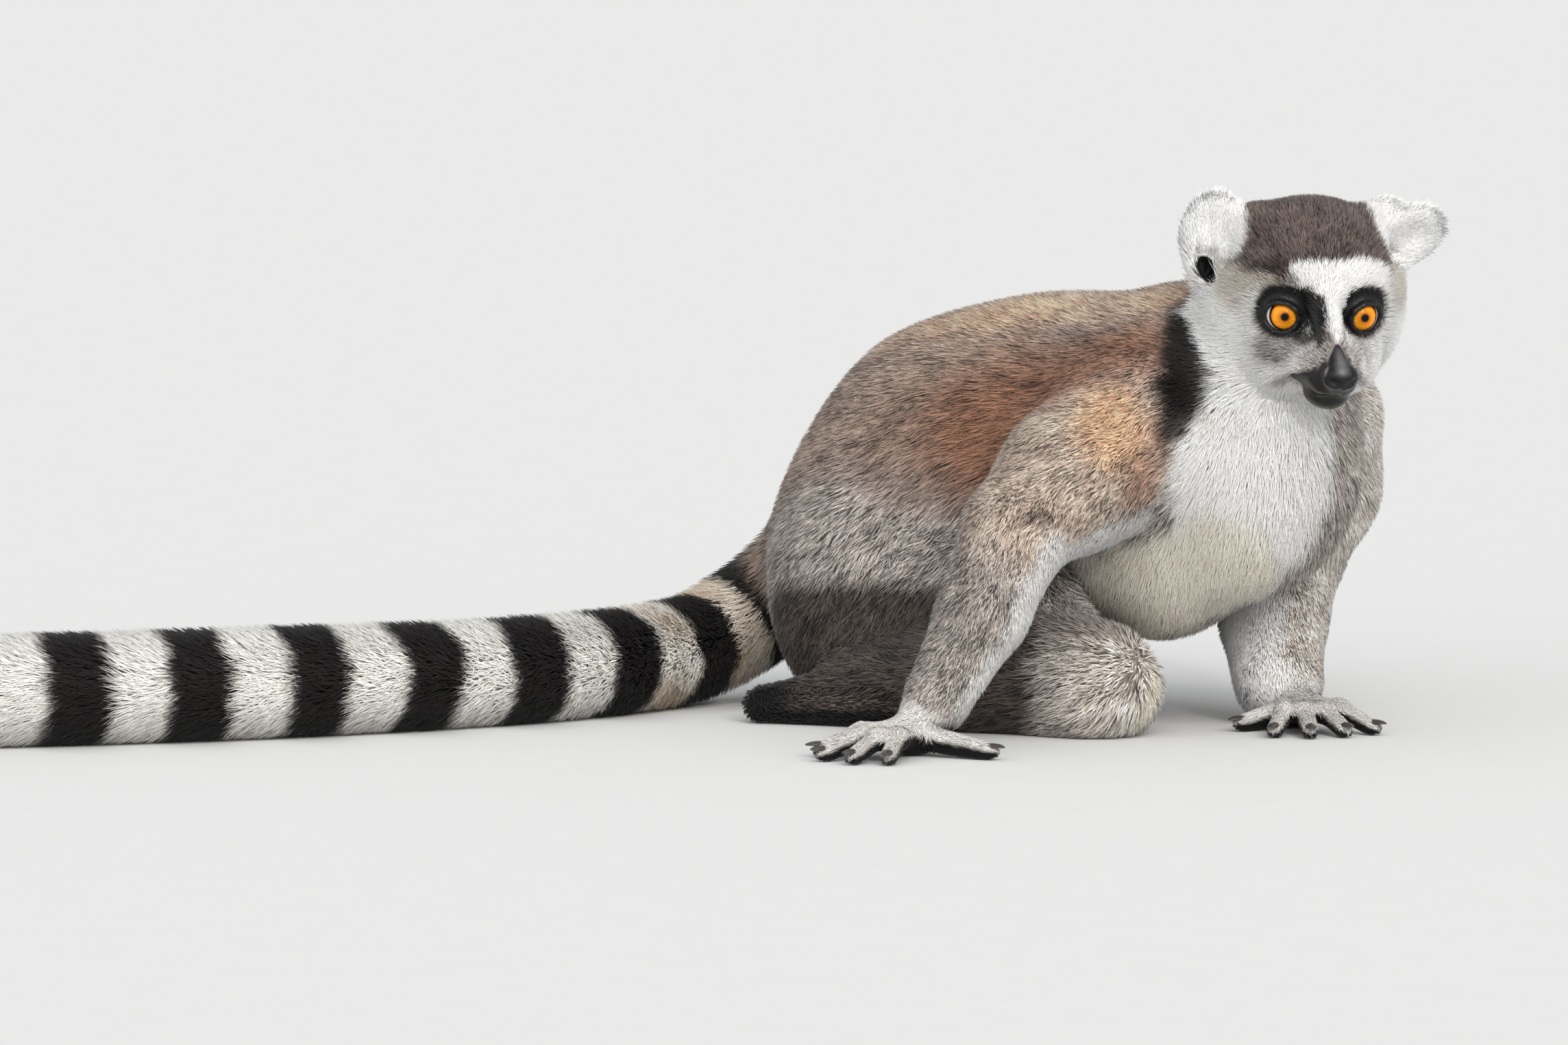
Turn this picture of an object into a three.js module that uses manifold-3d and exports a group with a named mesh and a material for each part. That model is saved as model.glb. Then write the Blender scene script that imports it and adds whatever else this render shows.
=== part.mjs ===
// Ring-tailed lemur, a still life-size model: crouched on both hands, the trunk twisted so that the
// chest and the face turn towards -Y, the ringed tail laid in a long curve over the floor.
// Millimetres, +Z up, the floor at z = 0. +X is the side the animal faces, the tail runs to -X.
//
// The animal is described as lumps of flesh and coat (tapered bones and ellipsoids) that melt into
// each other. One distance field joins them, its surface is meshed, and thin cuts part it into nodes.
import * as THREE from 'three';
import { MarchingCubes } from 'three/addons/objects/MarchingCubes.js';
import { SimplifyModifier } from 'three/addons/modifiers/SimplifyModifier.js';
import { mergeVertices } from 'three/addons/utils/BufferGeometryUtils.js';
import Module from 'manifold-3d';

const wasm = await Module();
wasm.setup();

// ---------------------------------------------------------------- driving dimensions
const GAP = 0.4; // clearance between neighbouring nodes
const BIG = 2400; // edge of the boxes that stand for half-spaces
const MERGE = 1e-3; // vertices closer than this are one

// Edge of the meshing cells for each stretch of the body, and the share of vertices then folded away.
const CELL = { trunk: 13, limb: 12, crease: 12, head: 6, muzzle: 3.2, ear: 4.2, hand: 3.4, foot: 5 };
const THIN = {
  trunk: 0.81, limb: 0.76, crease: 0.86, head: 0.81, muzzle: 0.75, hand: 0.765, foot: 0.76, ear: 0.66,
};

const HEAD = { origin: [87.8, -45, 170.7], heading: -80, pitch: 17, roll: -1.5 };
const PELVIS_HEADING = -33;
const CHEST_HEADING = -55;
const EYE = { radius: 7.7, socket: 8.2, apart: 30.7, segments: 12, rings: 8 };

const TAIL = { lengths: 7, sides: 12, ringsPerLength: 5 };
const TAIL_LINE = [
  [-104, 104, 60], [-136, 108, 38], [-160, 90, 25], [-185, 60, 21.5], [-215, 28, 21], [-255, -2, 21],
  [-305, -30, 21.5], [-360, -54, 21.8], [-420, -72, 21.8], [-478, -86, 21.6], [-524, -110, 21.2],
  [-556, -148, 19.4], [-572, -190, 15], [-578, -222, 8],
];
const TAIL_RADII = [28, 22, 21.5, 21.5, 21.8, 21.8, 22.3, 22.6, 22.6, 22.4, 22, 20.2, 15.8, 8];

// ---------------------------------------------------------------- small vector helpers
const vec = (a) => new THREE.Vector3(a[0], a[1], a[2]);
const radians = THREE.MathUtils.degToRad;

/** Axes [forward, left, up] of a piece heading by an angle from +X, nose down by pitch, rolled. */
function axesOf(heading, pitch = 0, roll = 0) {
  const h = radians(heading);
  const p = radians(pitch);
  const r = radians(roll);
  const forward = new THREE.Vector3(Math.cos(h) * Math.cos(p), Math.sin(h) * Math.cos(p), -Math.sin(p));
  const level = new THREE.Vector3(-Math.sin(h), Math.cos(h), 0);
  const upright = new THREE.Vector3().crossVectors(forward, level);
  const left = level.multiplyScalar(Math.cos(r)).addScaledVector(upright, Math.sin(r));
  const up = new THREE.Vector3().crossVectors(forward, left);
  return [forward, left, up];
}

const HEAD_AXES = axesOf(HEAD.heading, HEAD.pitch, HEAD.roll);

/** A direction given in the head's own forward, left and up, turned into the model's frame. */
function headDirection(local) {
  const out = new THREE.Vector3();
  HEAD_AXES.forEach((axis, i) => out.addScaledVector(axis, local[i]));
  return out;
}

/** A point given from the middle of the two eyeballs, in the model's frame. */
const headPoint = (local) => headDirection(local).add(vec(HEAD.origin));

// ---------------------------------------------------------------- lumps and the field they make
/** A straight bone with its flesh and coat: a radius at each end. */
class Bone {
  constructor(part, from, to, fromRadius, toRadius, blend) {
    Object.assign(this, { part, from, to, fromRadius, toRadius, blend, cut: false });
    this.axis = new THREE.Vector3().subVectors(to, from);
    this.lengthSquared = this.axis.lengthSq();
  }

  distance(p) {
    const dx = p.x - this.from.x;
    const dy = p.y - this.from.y;
    const dz = p.z - this.from.z;
    const along = (dx * this.axis.x + dy * this.axis.y + dz * this.axis.z) / this.lengthSquared;
    const t = Math.min(1, Math.max(0, along));
    const side = Math.hypot(dx - t * this.axis.x, dy - t * this.axis.y, dz - t * this.axis.z);
    return side - (this.fromRadius + (this.toRadius - this.fromRadius) * t);
  }
}

/** An ellipsoid lump with its radii along its own forward, left and up. */
class Lump {
  constructor(part, centre, radii, axes, blend, cut = false) {
    Object.assign(this, { part, centre, radii, axes, blend, cut });
  }

  distance(p) {
    const d = new THREE.Vector3().subVectors(p, this.centre);
    let near = 0;
    let far = 0;
    this.axes.forEach((axis, i) => {
      const q = d.dot(axis) / this.radii[i];
      near += q * q;
      far += (q / this.radii[i]) ** 2;
    });
    const k = Math.sqrt(near);
    return (k * (k - 1)) / Math.max(Math.sqrt(far), 1e-6);
  }
}

/** The smaller of two distances, rounded where they are within the blend of each other. */
function meltedMin(a, b, blend) {
  const h = Math.max(blend - Math.abs(a - b), 0) / blend;
  return Math.min(a, b) - (h * h * blend) / 4;
}

/** Distance from a point to the joined lumps, negative inside. */
function joinedDistance(lumps, p) {
  let d = 1e3;
  for (const lump of lumps) {
    const e = lump.distance(p);
    if (lump.cut) d = -meltedMin(-d, e, lump.blend);
    else d = meltedMin(d, e, lump.blend);
  }
  return d;
}

/** Plain distance to the nearest of the lumps whose part is named. */
function nearest(lumps, p) {
  let d = 1e3;
  for (const lump of lumps) d = Math.min(d, lump.distance(p));
  return d;
}

/** Bones end to end through the points, one radius a point. */
function bones(part, points, radii, blend, firstBlend = blend) {
  const out = [];
  for (let i = 0; i + 1 < points.length; i += 1) {
    const melt = i === 0 ? firstBlend : blend;
    out.push(new Bone(part, vec(points[i]), vec(points[i + 1]), radii[i], radii[i + 1], melt));
  }
  return out;
}

const lump = (part, centre, radii, axes, blend) => new Lump(part, vec(centre), radii, axes, blend);

// ---------------------------------------------------------------- the animal
function trunkLumps() {
  return [
    lump('trunk', [-80, 84, 62], [54, 54, 56], axesOf(PELVIS_HEADING), 20),
    lump('trunk', [-54, 66, 100], [62, 56, 62], axesOf(-40, -20), 30),
    lump('trunk', [-10, 38, 119], [60, 54, 55.5], axesOf(-45, -8), 30),
    lump('trunk', [42, 12, 124], [50, 54, 51], axesOf(CHEST_HEADING), 30),
    lump('trunk', [68, -18, 106], [34, 42, 52], axesOf(CHEST_HEADING, 10), 24),
    lump('trunk', [26, 8, 78], [42, 38, 44], axesOf(-50), 24),
    ...bones('trunk', [[46, 8, 142], [79, -14, 158]], [34, 29], 22),
  ];
}

const ELBOW = { right: [-35, -62, 83], left: [79, 64, 66] };
const WRIST = { right: [-65, -101, 24], left: [73.5, 10, 17] };

function armLumps() {
  return [
    ...bones('arm_right', [[18, -18, 122], [-11, -38, 104], [-35, -62, 85]], [36, 29, 21.5], 10, 14),
    ...bones('arm_right', [ELBOW.right, [-48, -82, 54], WRIST.right], [21.5, 18.3, 14], 6),
    ...bones('arm_left', [[85, 30, 122], [87, 48, 94], [80, 64, 68]], [33, 29, 24.5], 10, 12),
    ...bones('arm_left', [ELBOW.left, [73, 38, 40], WRIST.left], [24.5, 22, 18.5], 6),
  ];
}

function legLumps() {
  return [
    lump('thigh_right', [-84, 44, 44], [50, 40, 42], axesOf(PELVIS_HEADING), 14),
    lump('thigh_right', [-83, 46, 30], [42, 36, 34], axesOf(PELVIS_HEADING), 14),
    ...bones('thigh_right', [[-82, 54, 62], [-40, 12, 46], [-9, -24, 24]], [48, 34, 20], 10, 14),
    lump('thigh_right', [-3, -34, 21], [30, 25, 23.5], axesOf(-30), 10),
    ...bones('shank_right', [[-3, -34, 19], [-50, -14, 22], [-96, 14, 17]], [26, 24, 16], 10),
    ...bones('thigh_left', [[-54, 104, 66], [0, 92, 76], [49, 81, 84]], [44, 36, 24], 10, 14),
    ...bones('shank_left', [[49, 81, 84], [0, 97, 52], [-48, 112, 20]], [23, 20, 13], 8),
  ];
}

function footLumps(side) {
  if (side === 'right') {
    return [
      ...bones('foot', [[-102, 14, 13], [-136, 12, 7.6]], [11.5, 7.2], 5),
      ...bones('foot', [[-136, 12, 7.2], [-78, -10, 8.2], [-48, -22, 5.4]], [7.4, 9, 6], 5),
    ];
  }
  return [
    ...bones('foot', [[-48, 112, 17], [-62, 118, 11]], [13, 10], 5),
    ...bones('foot', [[-62, 118, 9.3], [-8, 94, 8.2], [24, 78, 5.4]], [10, 9, 6], 5),
  ];
}

/** A hand flat on the floor: wrist, palm, four arched fingers and a thumb set apart from them. */
function handLumps(wrist, palm, tips, thumb) {
  const knuckleHeight = 9;
  const out = bones('hand', [wrist, palm], [11.5, 9], 6);
  for (const tip of tips) {
    const knuckle = [0, 1].map((i) => palm[i] * 0.45 + tip[i] * 0.55);
    out.push(...bones('hand', [palm, [...knuckle, knuckleHeight], tip], [6, 4.2, 3.6], 4));
  }
  out.push(...bones('hand', [palm, thumb], [6, 3.8], 4));
  return out;
}

const HANDS = {
  right: handLumps(
    [-68, -102, 18], [-77, -110, 8.2],
    [[-112, -118, 3], [-111, -134, 3], [-100, -146, 3], [-86, -148, 3]], [-46, -128, 3.2],
  ),
  left: handLumps(
    [79, 8, 17], [81, -8, 8.2],
    [[70, -46, 3], [84, -50, 3], [98, -46, 3], [110, -36, 3]], [58, -22, 3.2],
  ),
};

const headLump = (centre, radii, blend) => new Lump('head', headPoint(centre), radii, HEAD_AXES, blend);
const headBone = (from, to, r0, r1, melt) => new Bone('head', headPoint(from), headPoint(to), r0, r1, melt);

/** Braincase, brow, ear bases, ruff, cheeks, eye rims, throat, nose bridge, muzzle, lips, jaw, nose. */
function headLumps() {
  const out = [headLump([-25, 0, 8.5], [33, 36, 31.2], 14), headLump([-9, 0, 12], [15, 22, 16], 8)];
  for (const side of [-1, 1]) {
    out.push(headLump([-30, side * 24.5, 19.5 - side], [13, 13, 14], 10));
    out.push(headLump([-36, side * 28, 0], [16, 13, 22], 12));
    out.push(headLump([-21, side * 19.5, -11], [22, 19, 22], 12));
    out.push(headLump([-5, side * 16, 0], [7.5, 11.5, 12.5], 6));
  }
  out.push(headLump([-40, -30, -19], [16, 14, 20], 12));
  out.push(headLump([-14, 0, -22], [20, 16, 12], 10));
  out.push(headBone([4, 0, 8.5], [34, 0, -7], 6, 5, 6));
  out.push(headBone([2, 0, -9], [33, 0, -14], 12, 7.6, 6));
  for (const side of [-1, 1]) {
    out.push(headLump([5, side * 13.5, -14.5], [15, 10, 9], 7));
    out.push(headLump([14, side * 7, -15], [14, 9, 9], 5));
    out.push(headLump([28, side * 4.2, -17], [10, 6.2, 6.5], 4));
  }
  out.push(headBone([4, 0, -20], [24, 0, -24.5], 10, 5.6, 4));
  out.push(headLump([22, 0, -25.2], [10.5, 9.5, 6.2], 4));
  out.push(headLump([39, 0, -11.7], [5.6, 6.7, 5.6], 3));
  return out;
}

/** Ears turn by themselves: the near one stands up, the far one is laid out to the side. */
const EARS = {
  right: { side: -1, middle: [-30, -39.4, 21.1], upwards: [-0.1, 0.15, 1], radii: [7.5, 15, 18.5], turn: 22 },
  left: { side: 1, middle: [-30, 39.1, 22.3], upwards: [-0.1, 0.9, 0.42], radii: [7.5, 14, 17], turn: 30 },
};

/** A furred ear as a round dish on the side of the crown, hollow in front. */
function earLumps({ side, middle, upwards, radii, turn }) {
  const rise = vec(upwards).normalize();
  const face = new THREE.Vector3(Math.cos(radians(turn)), side * Math.sin(radians(turn)), 0);
  face.addScaledVector(rise, -face.dot(rise)).normalize();
  const across = new THREE.Vector3().crossVectors(rise, face);
  const axes = [face, across, rise].map((v) => headDirection(v.toArray()));
  const centre = headPoint(middle);
  const hollow = centre.clone().addScaledVector(axes[0], radii[0] + 1.5).addScaledVector(axes[2], -1.5);
  return [
    new Lump('ear', centre, radii, axes, 5),
    new Lump('ear', hollow, [7.5, radii[1] * 0.62, radii[2] * 0.7], axes, 3, true),
  ];
}

// ---------------------------------------------------------------- meshing
/** Moves every vertex onto the zero surface of the field, along its slope. */
function settleOnSurface(geometry, field) {
  const step = 0.25;
  const p = new THREE.Vector3();
  const slope = new THREE.Vector3();
  const positions = geometry.getAttribute('position');
  for (let i = 0; i < positions.count; i += 1) {
    p.fromBufferAttribute(positions, i);
    for (let pass = 0; pass < 2; pass += 1) {
      const d = field(p);
      for (const axis of ['x', 'y', 'z']) {
        const ahead = p.clone();
        ahead[axis] += step;
        slope[axis] = (field(ahead) - d) / step;
      }
      if (Math.abs(d) < 3) p.addScaledVector(slope, -d / Math.max(slope.lengthSq(), 0.2));
    }
    positions.setXYZ(i, p.x, p.y, p.z);
  }
}

/** A geometry with merged vertices and without triangles that have shrunk to a line. */
function tidied(geometry) {
  const bare = new THREE.BufferGeometry();
  bare.setAttribute('position', geometry.getAttribute('position').clone());
  if (geometry.index) bare.setIndex(geometry.index.clone());
  const merged = mergeVertices(bare, MERGE);
  const kept = [];
  const index = merged.index.array;
  for (let i = 0; i < index.length; i += 3) {
    const [a, b, c] = [index[i], index[i + 1], index[i + 2]];
    if (a !== b && b !== c && c !== a) kept.push(a, b, c);
  }
  merged.setIndex(kept);
  return merged;
}

/** The closed surface where the field is zero, meshed inside a box in cells of about the size given. */
function surfaceOf(field, box, cell) {
  const margin = 2.5 * cell;
  const half = box.getSize(new THREE.Vector3()).multiplyScalar(0.5).addScalar(margin);
  const centre = box.getCenter(new THREE.Vector3());
  const resolution = Math.ceil((2 * Math.max(half.x, half.y, half.z)) / cell) + 2;
  const cubes = new MarchingCubes(resolution, new THREE.MeshStandardMaterial(), false, false, 60000);
  const smallest = 0.12 * cell;
  const reach = (resolution * cell) / 2;
  const p = new THREE.Vector3();
  let node = 0;
  for (let k = 0; k < resolution; k += 1) {
    for (let j = 0; j < resolution; j += 1) {
      for (let i = 0; i < resolution; i += 1) {
        p.set(i, j, k).subScalar(cubes.halfsize).multiplyScalar(reach / cubes.halfsize).add(centre);
        const d = field(p);
        cubes.field[node] = d < 0 ? Math.max(-d, smallest) : Math.min(-d, -smallest);
        node += 1;
      }
    }
  }
  cubes.isolation = 0;
  cubes.update();
  const raw = new THREE.BufferGeometry();
  const corners = cubes.positionArray.slice(0, cubes.count * 3);
  raw.setAttribute('position', new THREE.BufferAttribute(corners, 3));
  raw.scale(reach, reach, reach);
  raw.translate(centre.x, centre.y, centre.z);
  const geometry = tidied(raw);
  settleOnSurface(geometry, field);
  return geometry;
}

/** The surface with the least telling share of its vertices folded into their neighbours. */
async function thinned(geometry, share) {
  const count = geometry.getAttribute('position').count;
  return tidied(await new SimplifyModifier().modify(geometry, Math.floor(count * share)));
}

/** Distance to a box, so that a field can be closed at the edge of the part of it that is meshed. */
function boxDistance(box, p) {
  const dx = Math.max(box.min.x - p.x, p.x - box.max.x);
  const dy = Math.max(box.min.y - p.y, p.y - box.max.y);
  const dz = Math.max(box.min.z - p.z, p.z - box.max.z);
  return Math.max(dx, dy, dz);
}

const boxOf = (min, max) => new THREE.Box3(vec(min), vec(max));

// ---------------------------------------------------------------- solids
function solidOf(geometry) {
  const clean = tidied(geometry);
  return new wasm.Manifold(new wasm.Mesh({
    numProp: 3,
    vertProperties: new Float32Array(clean.getAttribute('position').array),
    triVerts: new Uint32Array(clean.index.array),
  }));
}

function geometryOf(solid) {
  const mesh = solid.getMesh();
  const geometry = new THREE.BufferGeometry();
  geometry.setAttribute('position', new THREE.BufferAttribute(new Float32Array(mesh.vertProperties), 3));
  geometry.setIndex(Array.from(mesh.triVerts));
  return tidied(geometry);
}

/** The same surface with every vertex moved out by the clearance, for cutting a neighbour. */
function grown(geometry, clearance) {
  const out = tidied(geometry);
  out.computeVertexNormals();
  const positions = out.getAttribute('position');
  const normals = out.getAttribute('normal');
  const p = new THREE.Vector3();
  for (let i = 0; i < positions.count; i += 1) {
    p.fromBufferAttribute(positions, i);
    p.addScaledVector(new THREE.Vector3().fromBufferAttribute(normals, i), clearance);
    positions.setXYZ(i, p.x, p.y, p.z);
  }
  return out;
}

/** What a neighbour has to stay out of: the piece itself with the clearance all round it. */
function keepOut(geometry) {
  return solidOf(grown(geometry, GAP)).add(solidOf(grown(geometry, GAP / 2))).add(solidOf(geometry));
}

/** Everything on the side of a plane that its normal points to, from an offset beyond the plane. */
function halfSpace(point, normal, offset = 0) {
  const direction = normal.clone().normalize();
  const block = new THREE.BoxGeometry(BIG, BIG, BIG);
  const turn = new THREE.Quaternion().setFromUnitVectors(new THREE.Vector3(0, 0, 1), direction);
  const centre = point.clone().addScaledVector(direction, BIG / 2 + offset);
  block.applyMatrix4(new THREE.Matrix4().compose(centre, turn, new THREE.Vector3(1, 1, 1)));
  return solidOf(block);
}

/** The two sides of a plane through a solid, half a clearance away from it each. */
function parted(solid, point, normal) {
  const ahead = solid.intersect(halfSpace(point, normal, GAP / 2));
  const behind = solid.intersect(halfSpace(point, normal.clone().negate(), GAP / 2));
  return [ahead, behind];
}

/** The largest of the separate bodies of a solid: crumbs left by a cut are dropped. */
function largest(solid) {
  const bodies = solid.decompose();
  bodies.sort((a, b) => b.volume() - a.volume());
  return bodies[0];
}

const aboveFloor = (solid) => solid.intersect(halfSpace(vec([0, 0, 0]), vec([0, 0, 1])));

// ---------------------------------------------------------------- flesh parted into nodes
const LIMBS = ['arm_right', 'arm_left', 'shank_right', 'shank_left', 'thigh_right', 'thigh_left'];

/** Planes across the trunk, from behind forwards, each a point and the way forwards there. */
const WAIST = { point: [-56, 66, 90], normal: [0.8, -0.55, 0.25] };
const RIBS = { point: [12, 26, 118], normal: [0.78, -0.6, 0.1] };
const NAPE = { point: [52, 0, 142], normal: [0.3, -0.4, 0.87] };

/** Planes in the head's own axes, measured from the middle of the eyeballs. */
const STOP = { point: [13, 0, 0], normal: [1, 0, -0.25] };
const NOSE_BACK = { point: [37, 0, 0], normal: [1, 0, 0] };
const MOUTH = { point: [20, 0, -21], normal: [0, 0, -1] };

/** Planes across the elbows and the wrists. */
const ELBOW_NORMAL = { right: [-0.54, -0.51, -0.62], left: [-0.1, -0.22, -0.97] };
const WRIST_NORMAL = { right: [-0.3, -0.5, -0.8], left: [0.02, -0.55, -0.83] };

const acrossAt = (solid, plane) => parted(solid, vec(plane.point), vec(plane.normal));

function acrossHead(solid, plane) {
  return parted(solid, headPoint(plane.point), headDirection(plane.normal));
}

/**
 * The room of the head or one limb: it ends in the crease where the rest of the flesh lies as near,
 * or further back by the favour given to it.
 */
async function territoryOf(allLumps, part, favour = 0) {
  const own = allLumps.filter((each) => each.part === part);
  const rest = allLumps.filter((each) => each.part !== part);
  const reach = 22;
  const territory = (p) => {
    const d = nearest(own, p);
    return Math.max((d - nearest(rest, p)) / 2 - favour, d - reach);
  };
  const box = new THREE.Box3();
  for (const each of own) {
    const ends = each instanceof Bone ? [each.from, each.to] : [each.centre];
    const radii = each instanceof Bone ? [each.fromRadius, each.toRadius] : each.radii;
    const size = new THREE.Vector3().setScalar(2 * (Math.max(...radii) + reach));
    for (const end of ends) box.union(new THREE.Box3().setFromCenterAndSize(end, size));
  }
  return thinned(surfaceOf(territory, box, CELL.crease), THIN.crease);
}

/** Trunk, neck, upper and lower limbs, clear of the head, the feet and the tail given as cutters. */
async function makeFlesh(cutters) {
  const fleshLumps = [...trunkLumps(), ...armLumps(), ...legLumps()];
  const field = (p) => joinedDistance(fleshLumps, p);
  const box = boxOf([-145, -120, -5], [130, 160, 200]);
  let trunk = solidOf(await thinned(surfaceOf(field, box, CELL.trunk), THIN.trunk));
  let limbs = solidOf(await thinned(surfaceOf(field, box, CELL.limb), THIN.limb));
  for (const cutter of cutters) {
    trunk = trunk.subtract(cutter);
    limbs = limbs.subtract(cutter);
  }
  const taken = {};
  for (const part of LIMBS) {
    const room = await territoryOf(fleshLumps, part);
    taken[part] = largest(limbs.intersect(solidOf(room)));
    const cut = keepOut(room);
    limbs = limbs.subtract(cut);
    trunk = trunk.subtract(cut);
  }
  const [ahead, rump] = acrossAt(largest(trunk), WAIST);
  const [front, belly] = acrossAt(ahead, RIBS);
  const [neck, chest] = acrossAt(front, NAPE);
  const nodes = { neck, chest, belly, rump };
  for (const side of ['right', 'left']) {
    const [lower, upper] = parted(taken[`arm_${side}`], vec(ELBOW[side]), vec(ELBOW_NORMAL[side]));
    const [, forearm] = parted(lower, vec(WRIST[side]), vec(WRIST_NORMAL[side]));
    nodes[`upper_arm_${side}`] = upper;
    nodes[`forearm_${side}`] = forearm;
    nodes[`thigh_${side}`] = taken[`thigh_${side}`];
    nodes[`shank_${side}`] = taken[`shank_${side}`];
  }
  return nodes;
}

// ---------------------------------------------------------------- hands and feet
async function makeHand(side) {
  const lumps = [...armLumps().filter((each) => each.part === `arm_${side}`), ...HANDS[side]];
  const wrist = WRIST[side];
  const box = boxOf([wrist[0] - 60, wrist[1] - 80, -4], [wrist[0] + 50, wrist[1] + 30, 42]);
  const field = (p) => Math.max(joinedDistance(lumps, p), boxDistance(box, p));
  const solid = solidOf(await thinned(surfaceOf(field, box, CELL.hand), THIN.hand));
  return parted(solid, vec(wrist), vec(WRIST_NORMAL[side]))[0];
}

/** A foot flat on its sole, as a geometry, so that a grown copy can clear the leg above it. */
async function footGeometry(side) {
  const lumps = footLumps(side);
  const box = new THREE.Box3().setFromPoints(lumps.flatMap((bone) => [bone.from, bone.to]));
  return thinned(surfaceOf((p) => joinedDistance(lumps, p), box.expandByScalar(15), CELL.foot), THIN.foot);
}

// ---------------------------------------------------------------- head
/** A ball for an eye, facing out by the angle the eyes are set apart. */
function eyeBall(side, radius) {
  const ball = new THREE.SphereGeometry(radius, EYE.segments, EYE.rings);
  const centre = headPoint([0, (side * EYE.apart) / 2, 0]);
  return ball.translate(centre.x, centre.y, centre.z);
}

async function makeHead(room) {
  const lumps = [...trunkLumps(), ...headLumps()];
  const field = (p) => joinedDistance(lumps, p);
  const box = new THREE.Box3().setFromCenterAndSize(vec(HEAD.origin), new THREE.Vector3(130, 150, 130));
  const closed = (p) => Math.max(field(p), boxDistance(box, p));
  const tipBox = new THREE.Box3().setFromCenterAndSize(headPoint([26, 0, -10]), vec([64, 64, 64]));
  const tipClosed = (p) => Math.max(field(p), boxDistance(tipBox, p));
  const whole = solidOf(await thinned(surfaceOf(closed, box, CELL.head), THIN.head));
  const tip = solidOf(await thinned(surfaceOf(tipClosed, tipBox, CELL.muzzle), THIN.muzzle));
  let head = largest(acrossHead(whole.intersect(room), STOP)[1]);
  for (const side of [-1, 1]) head = head.subtract(solidOf(eyeBall(side, EYE.socket)));
  const snout = largest(acrossHead(tip.intersect(room), STOP)[0]);
  const [nose, lips] = acrossHead(snout, NOSE_BACK);
  const [jaw, muzzle] = acrossHead(lips, MOUTH);
  return { head: largest(head), muzzle, nose, lower_jaw: jaw };
}

async function makeEar(side, head) {
  const lumps = earLumps(EARS[side]);
  const box = new THREE.Box3().setFromCenterAndSize(lumps[0].centre, new THREE.Vector3(44, 44, 44));
  const ear = solidOf(await thinned(surfaceOf((p) => joinedDistance(lumps, p), box, CELL.ear), THIN.ear));
  return largest(ear.subtract(keepOut(geometryOf(head))));
}

// ---------------------------------------------------------------- tail
const tailCurve = new THREE.CatmullRomCurve3(TAIL_LINE.map(vec), false, 'centripetal');

function tailRadius(along) {
  const place = tailCurve.getUtoTmapping(along) * (TAIL_RADII.length - 1);
  const below = Math.min(Math.floor(place), TAIL_RADII.length - 2);
  return THREE.MathUtils.lerp(TAIL_RADII[below], TAIL_RADII[below + 1], place - below);
}

/** One length of the tail between two fractions of it: rings of coat round the bent line, closed ends. */
function tailLength(from, to) {
  const corners = [];
  const index = [];
  const { sides, ringsPerLength: steps } = TAIL;
  for (let ring = 0; ring <= steps; ring += 1) {
    const u = Math.min(1, from + ((to - from) * ring) / steps);
    const middle = tailCurve.getPointAt(u);
    const ahead = tailCurve.getTangentAt(u);
    const side = new THREE.Vector3().crossVectors(ahead, new THREE.Vector3(0, 0, 1)).normalize();
    const up = new THREE.Vector3().crossVectors(side, ahead);
    for (let k = 0; k < sides; k += 1) {
      const angle = (2 * Math.PI * k) / sides;
      const corner = middle.clone().addScaledVector(up, tailRadius(u) * Math.cos(angle));
      corner.addScaledVector(side, tailRadius(u) * Math.sin(angle));
      corners.push(...corner.toArray());
    }
  }
  for (let ring = 0; ring < steps; ring += 1) {
    for (let k = 0; k < sides; k += 1) {
      const a = ring * sides + k;
      const b = ring * sides + ((k + 1) % sides);
      index.push(a, b, b + sides, a, b + sides, a + sides);
    }
  }
  for (let k = 1; k + 1 < sides; k += 1) {
    index.push(0, k + 1, k);
    index.push(steps * sides, steps * sides + k, steps * sides + k + 1);
  }
  const geometry = new THREE.BufferGeometry();
  geometry.setAttribute('position', new THREE.Float32BufferAttribute(corners, 3));
  geometry.setIndex(index);
  return geometry;
}

function tailGeometries() {
  const clearance = GAP / 2 / tailCurve.getLength();
  const out = [];
  for (let i = 0; i < TAIL.lengths; i += 1) {
    const from = i / TAIL.lengths + (i > 0 ? clearance : 0);
    const to = (i + 1) / TAIL.lengths - (i + 1 < TAIL.lengths ? clearance : 0);
    out.push(tailLength(from, to));
  }
  return out;
}

// ---------------------------------------------------------------- the model
const COLOURS = {
  fur_grey: 0x7d736a, fur_brown: 0x8a7460, fur_white: 0xe6e1d8, fur_dark: 0x3b3532, skin_black: 0x1d1b1b,
  eye: 0xc8741a,
};
const FINISH_OF = {
  nose: 'skin_black', muzzle: 'skin_black', lower_jaw: 'skin_black', ear_right: 'fur_white',
  ear_left: 'fur_white', neck: 'fur_dark', chest: 'fur_white', rump: 'fur_brown', belly: 'fur_brown',
  eye_right: 'eye', eye_left: 'eye',
};

async function makeNodes() {
  const feet = { right: await footGeometry('right'), left: await footGeometry('left') };
  const tail = tailGeometries();
  const headRoom = await territoryOf([...trunkLumps(), ...armLumps(), ...headLumps()], 'head', 4);
  const cutters = [headRoom, feet.right, feet.left, tail[0]].map(keepOut);
  const nodes = await makeFlesh(cutters);
  Object.assign(nodes, await makeHead(solidOf(headRoom)));
  for (const [name, sign] of [['right', -1], ['left', 1]]) {
    nodes[`ear_${name}`] = await makeEar(name, nodes.head);
    nodes[`eye_${name}`] = solidOf(eyeBall(sign, EYE.radius));
    nodes[`hand_${name}`] = await makeHand(name);
    nodes[`foot_${name}`] = solidOf(feet[name]);
  }
  tail.forEach((each, i) => { nodes[`tail_${i + 1}`] = solidOf(each); });
  return nodes;
}

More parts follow.
